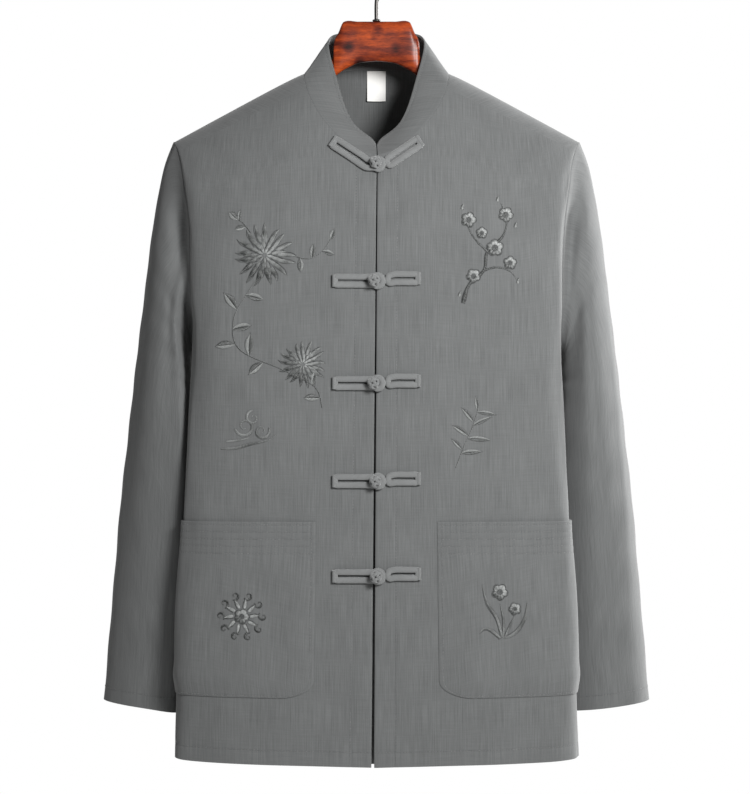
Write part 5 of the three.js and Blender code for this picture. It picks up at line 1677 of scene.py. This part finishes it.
# The turned collar where the wire enters the wood
FERRULE_SIDES = 28
angles = np.arange(FERRULE_SIDES) / FERRULE_SIDES * 2 * math.pi
ferrule_rings = []
for z, radius in ((-70.9, 3.6), (-70.2, 4.4), (-69.3, 4.4), (-68.6, 3.4), (-68.2, 2.3)):
    ring = np.stack([radius * np.cos(angles), radius * np.sin(angles), np.full(FERRULE_SIDES, z)], axis=-1)
    ferrule_rings.append(ring)
ferrule_points = np.concatenate(ferrule_rings)
ferrule_faces = [face[::-1] for face in tube_faces(len(ferrule_rings), FERRULE_SIDES)]
ferrule = (ferrule_points, ferrule_faces, [[(0.0, 0.0)] * len(face) for face in ferrule_faces])
dark_steel, nodes, links, shader = new_material("dark_steel_wire")
where = nodes.new("ShaderNodeTexCoord")
scratches = stretched_noise(nodes, links, where.outputs["Object"], (900.0, 900.0, 60.0), detail=2.0)
tinted(nodes, links, shader, scratches, (0.03, 0.028, 0.027), (0.1, 0.095, 0.09))
links.new(math_node(nodes, links, "MULTIPLY_ADD", scratches, 0.25, 0.24), shader.inputs["Roughness"])
shader.inputs["Metallic"].default_value = 0.85
hook = cord_piece("hanger_hook_wire", [shaft, ferrule], dark_steel)
worn(hook, "wire", "hanger_hook")

# Studio. A pale floor far below the hem and white surroundings. The key light stands in front on the right, a
# stronger one behind on the right, and a weak fill on the left.
floor_mesh = bpy.data.meshes.new("floor")
floor_mesh.from_pydata(
    [(-3.0, -2.6, -1.55), (3.0, -2.6, -1.55), (3.0, 3.2, -1.55), (-3.0, 3.2, -1.55)], [], [(0, 1, 2, 3)]
)
floor = bpy.data.objects.new("floor", floor_mesh)
bpy.context.collection.objects.link(floor)
floor_finish, nodes, links, shader = new_material("pale_floor")
shader.inputs["Base Color"].default_value = (0.82, 0.82, 0.81, 1)
shader.inputs["Roughness"].default_value = 0.9
floor_mesh.materials.append(floor_finish)


def area_light(name, place, aim, size, watts):
    data = bpy.data.lights.new(name, "AREA")
    data.shape = "DISK"
    data.size = size
    data.energy = watts
    light = bpy.data.objects.new(name, data)
    bpy.context.collection.objects.link(light)
    light.location = place
    towards = np.array(aim, dtype=float) - np.array(place, dtype=float)
    yaw = math.atan2(towards[1], towards[0]) - math.pi / 2
    pitch = math.atan2(towards[2], math.hypot(towards[0], towards[1]))
    light.rotation_euler = (pitch + math.pi / 2, 0.0, yaw)


area_light("key_light", (0.6, -1.42, 0.06), (0.0, 0.0, -0.33), 0.45, 36)
area_light("side_light", (2.6, 1.2, 0.4), (0.0, 0.0, -0.35), 0.9, 130)
area_light("fill_light", (-2.5, -0.7, -0.4), (0.0, 0.0, -0.45), 1.2, 2)

world = bpy.data.worlds.new("white_surroundings")
bpy.context.scene.world = world
world.use_nodes = True
nodes, links = world.node_tree.nodes, world.node_tree.links
ambient = nodes["Background"]
ambient.inputs["Color"].default_value = (1, 1, 1, 1)
ambient.inputs["Strength"].default_value = 0.18
backdrop = nodes.new("ShaderNodeBackground")
backdrop.inputs["Color"].default_value = (1, 1, 1, 1)
backdrop.inputs["Strength"].default_value = 1.0
path = nodes.new("ShaderNodeLightPath")
choose = nodes.new("ShaderNodeMixShader")
links.new(path.outputs["Is Camera Ray"], choose.inputs[0])
links.new(ambient.outputs[0], choose.inputs[1])
links.new(backdrop.outputs[0], choose.inputs[2])
links.new(choose.outputs[0], nodes["World Output"].inputs["Surface"])
bpy.context.scene.view_settings.view_transform = "Standard"
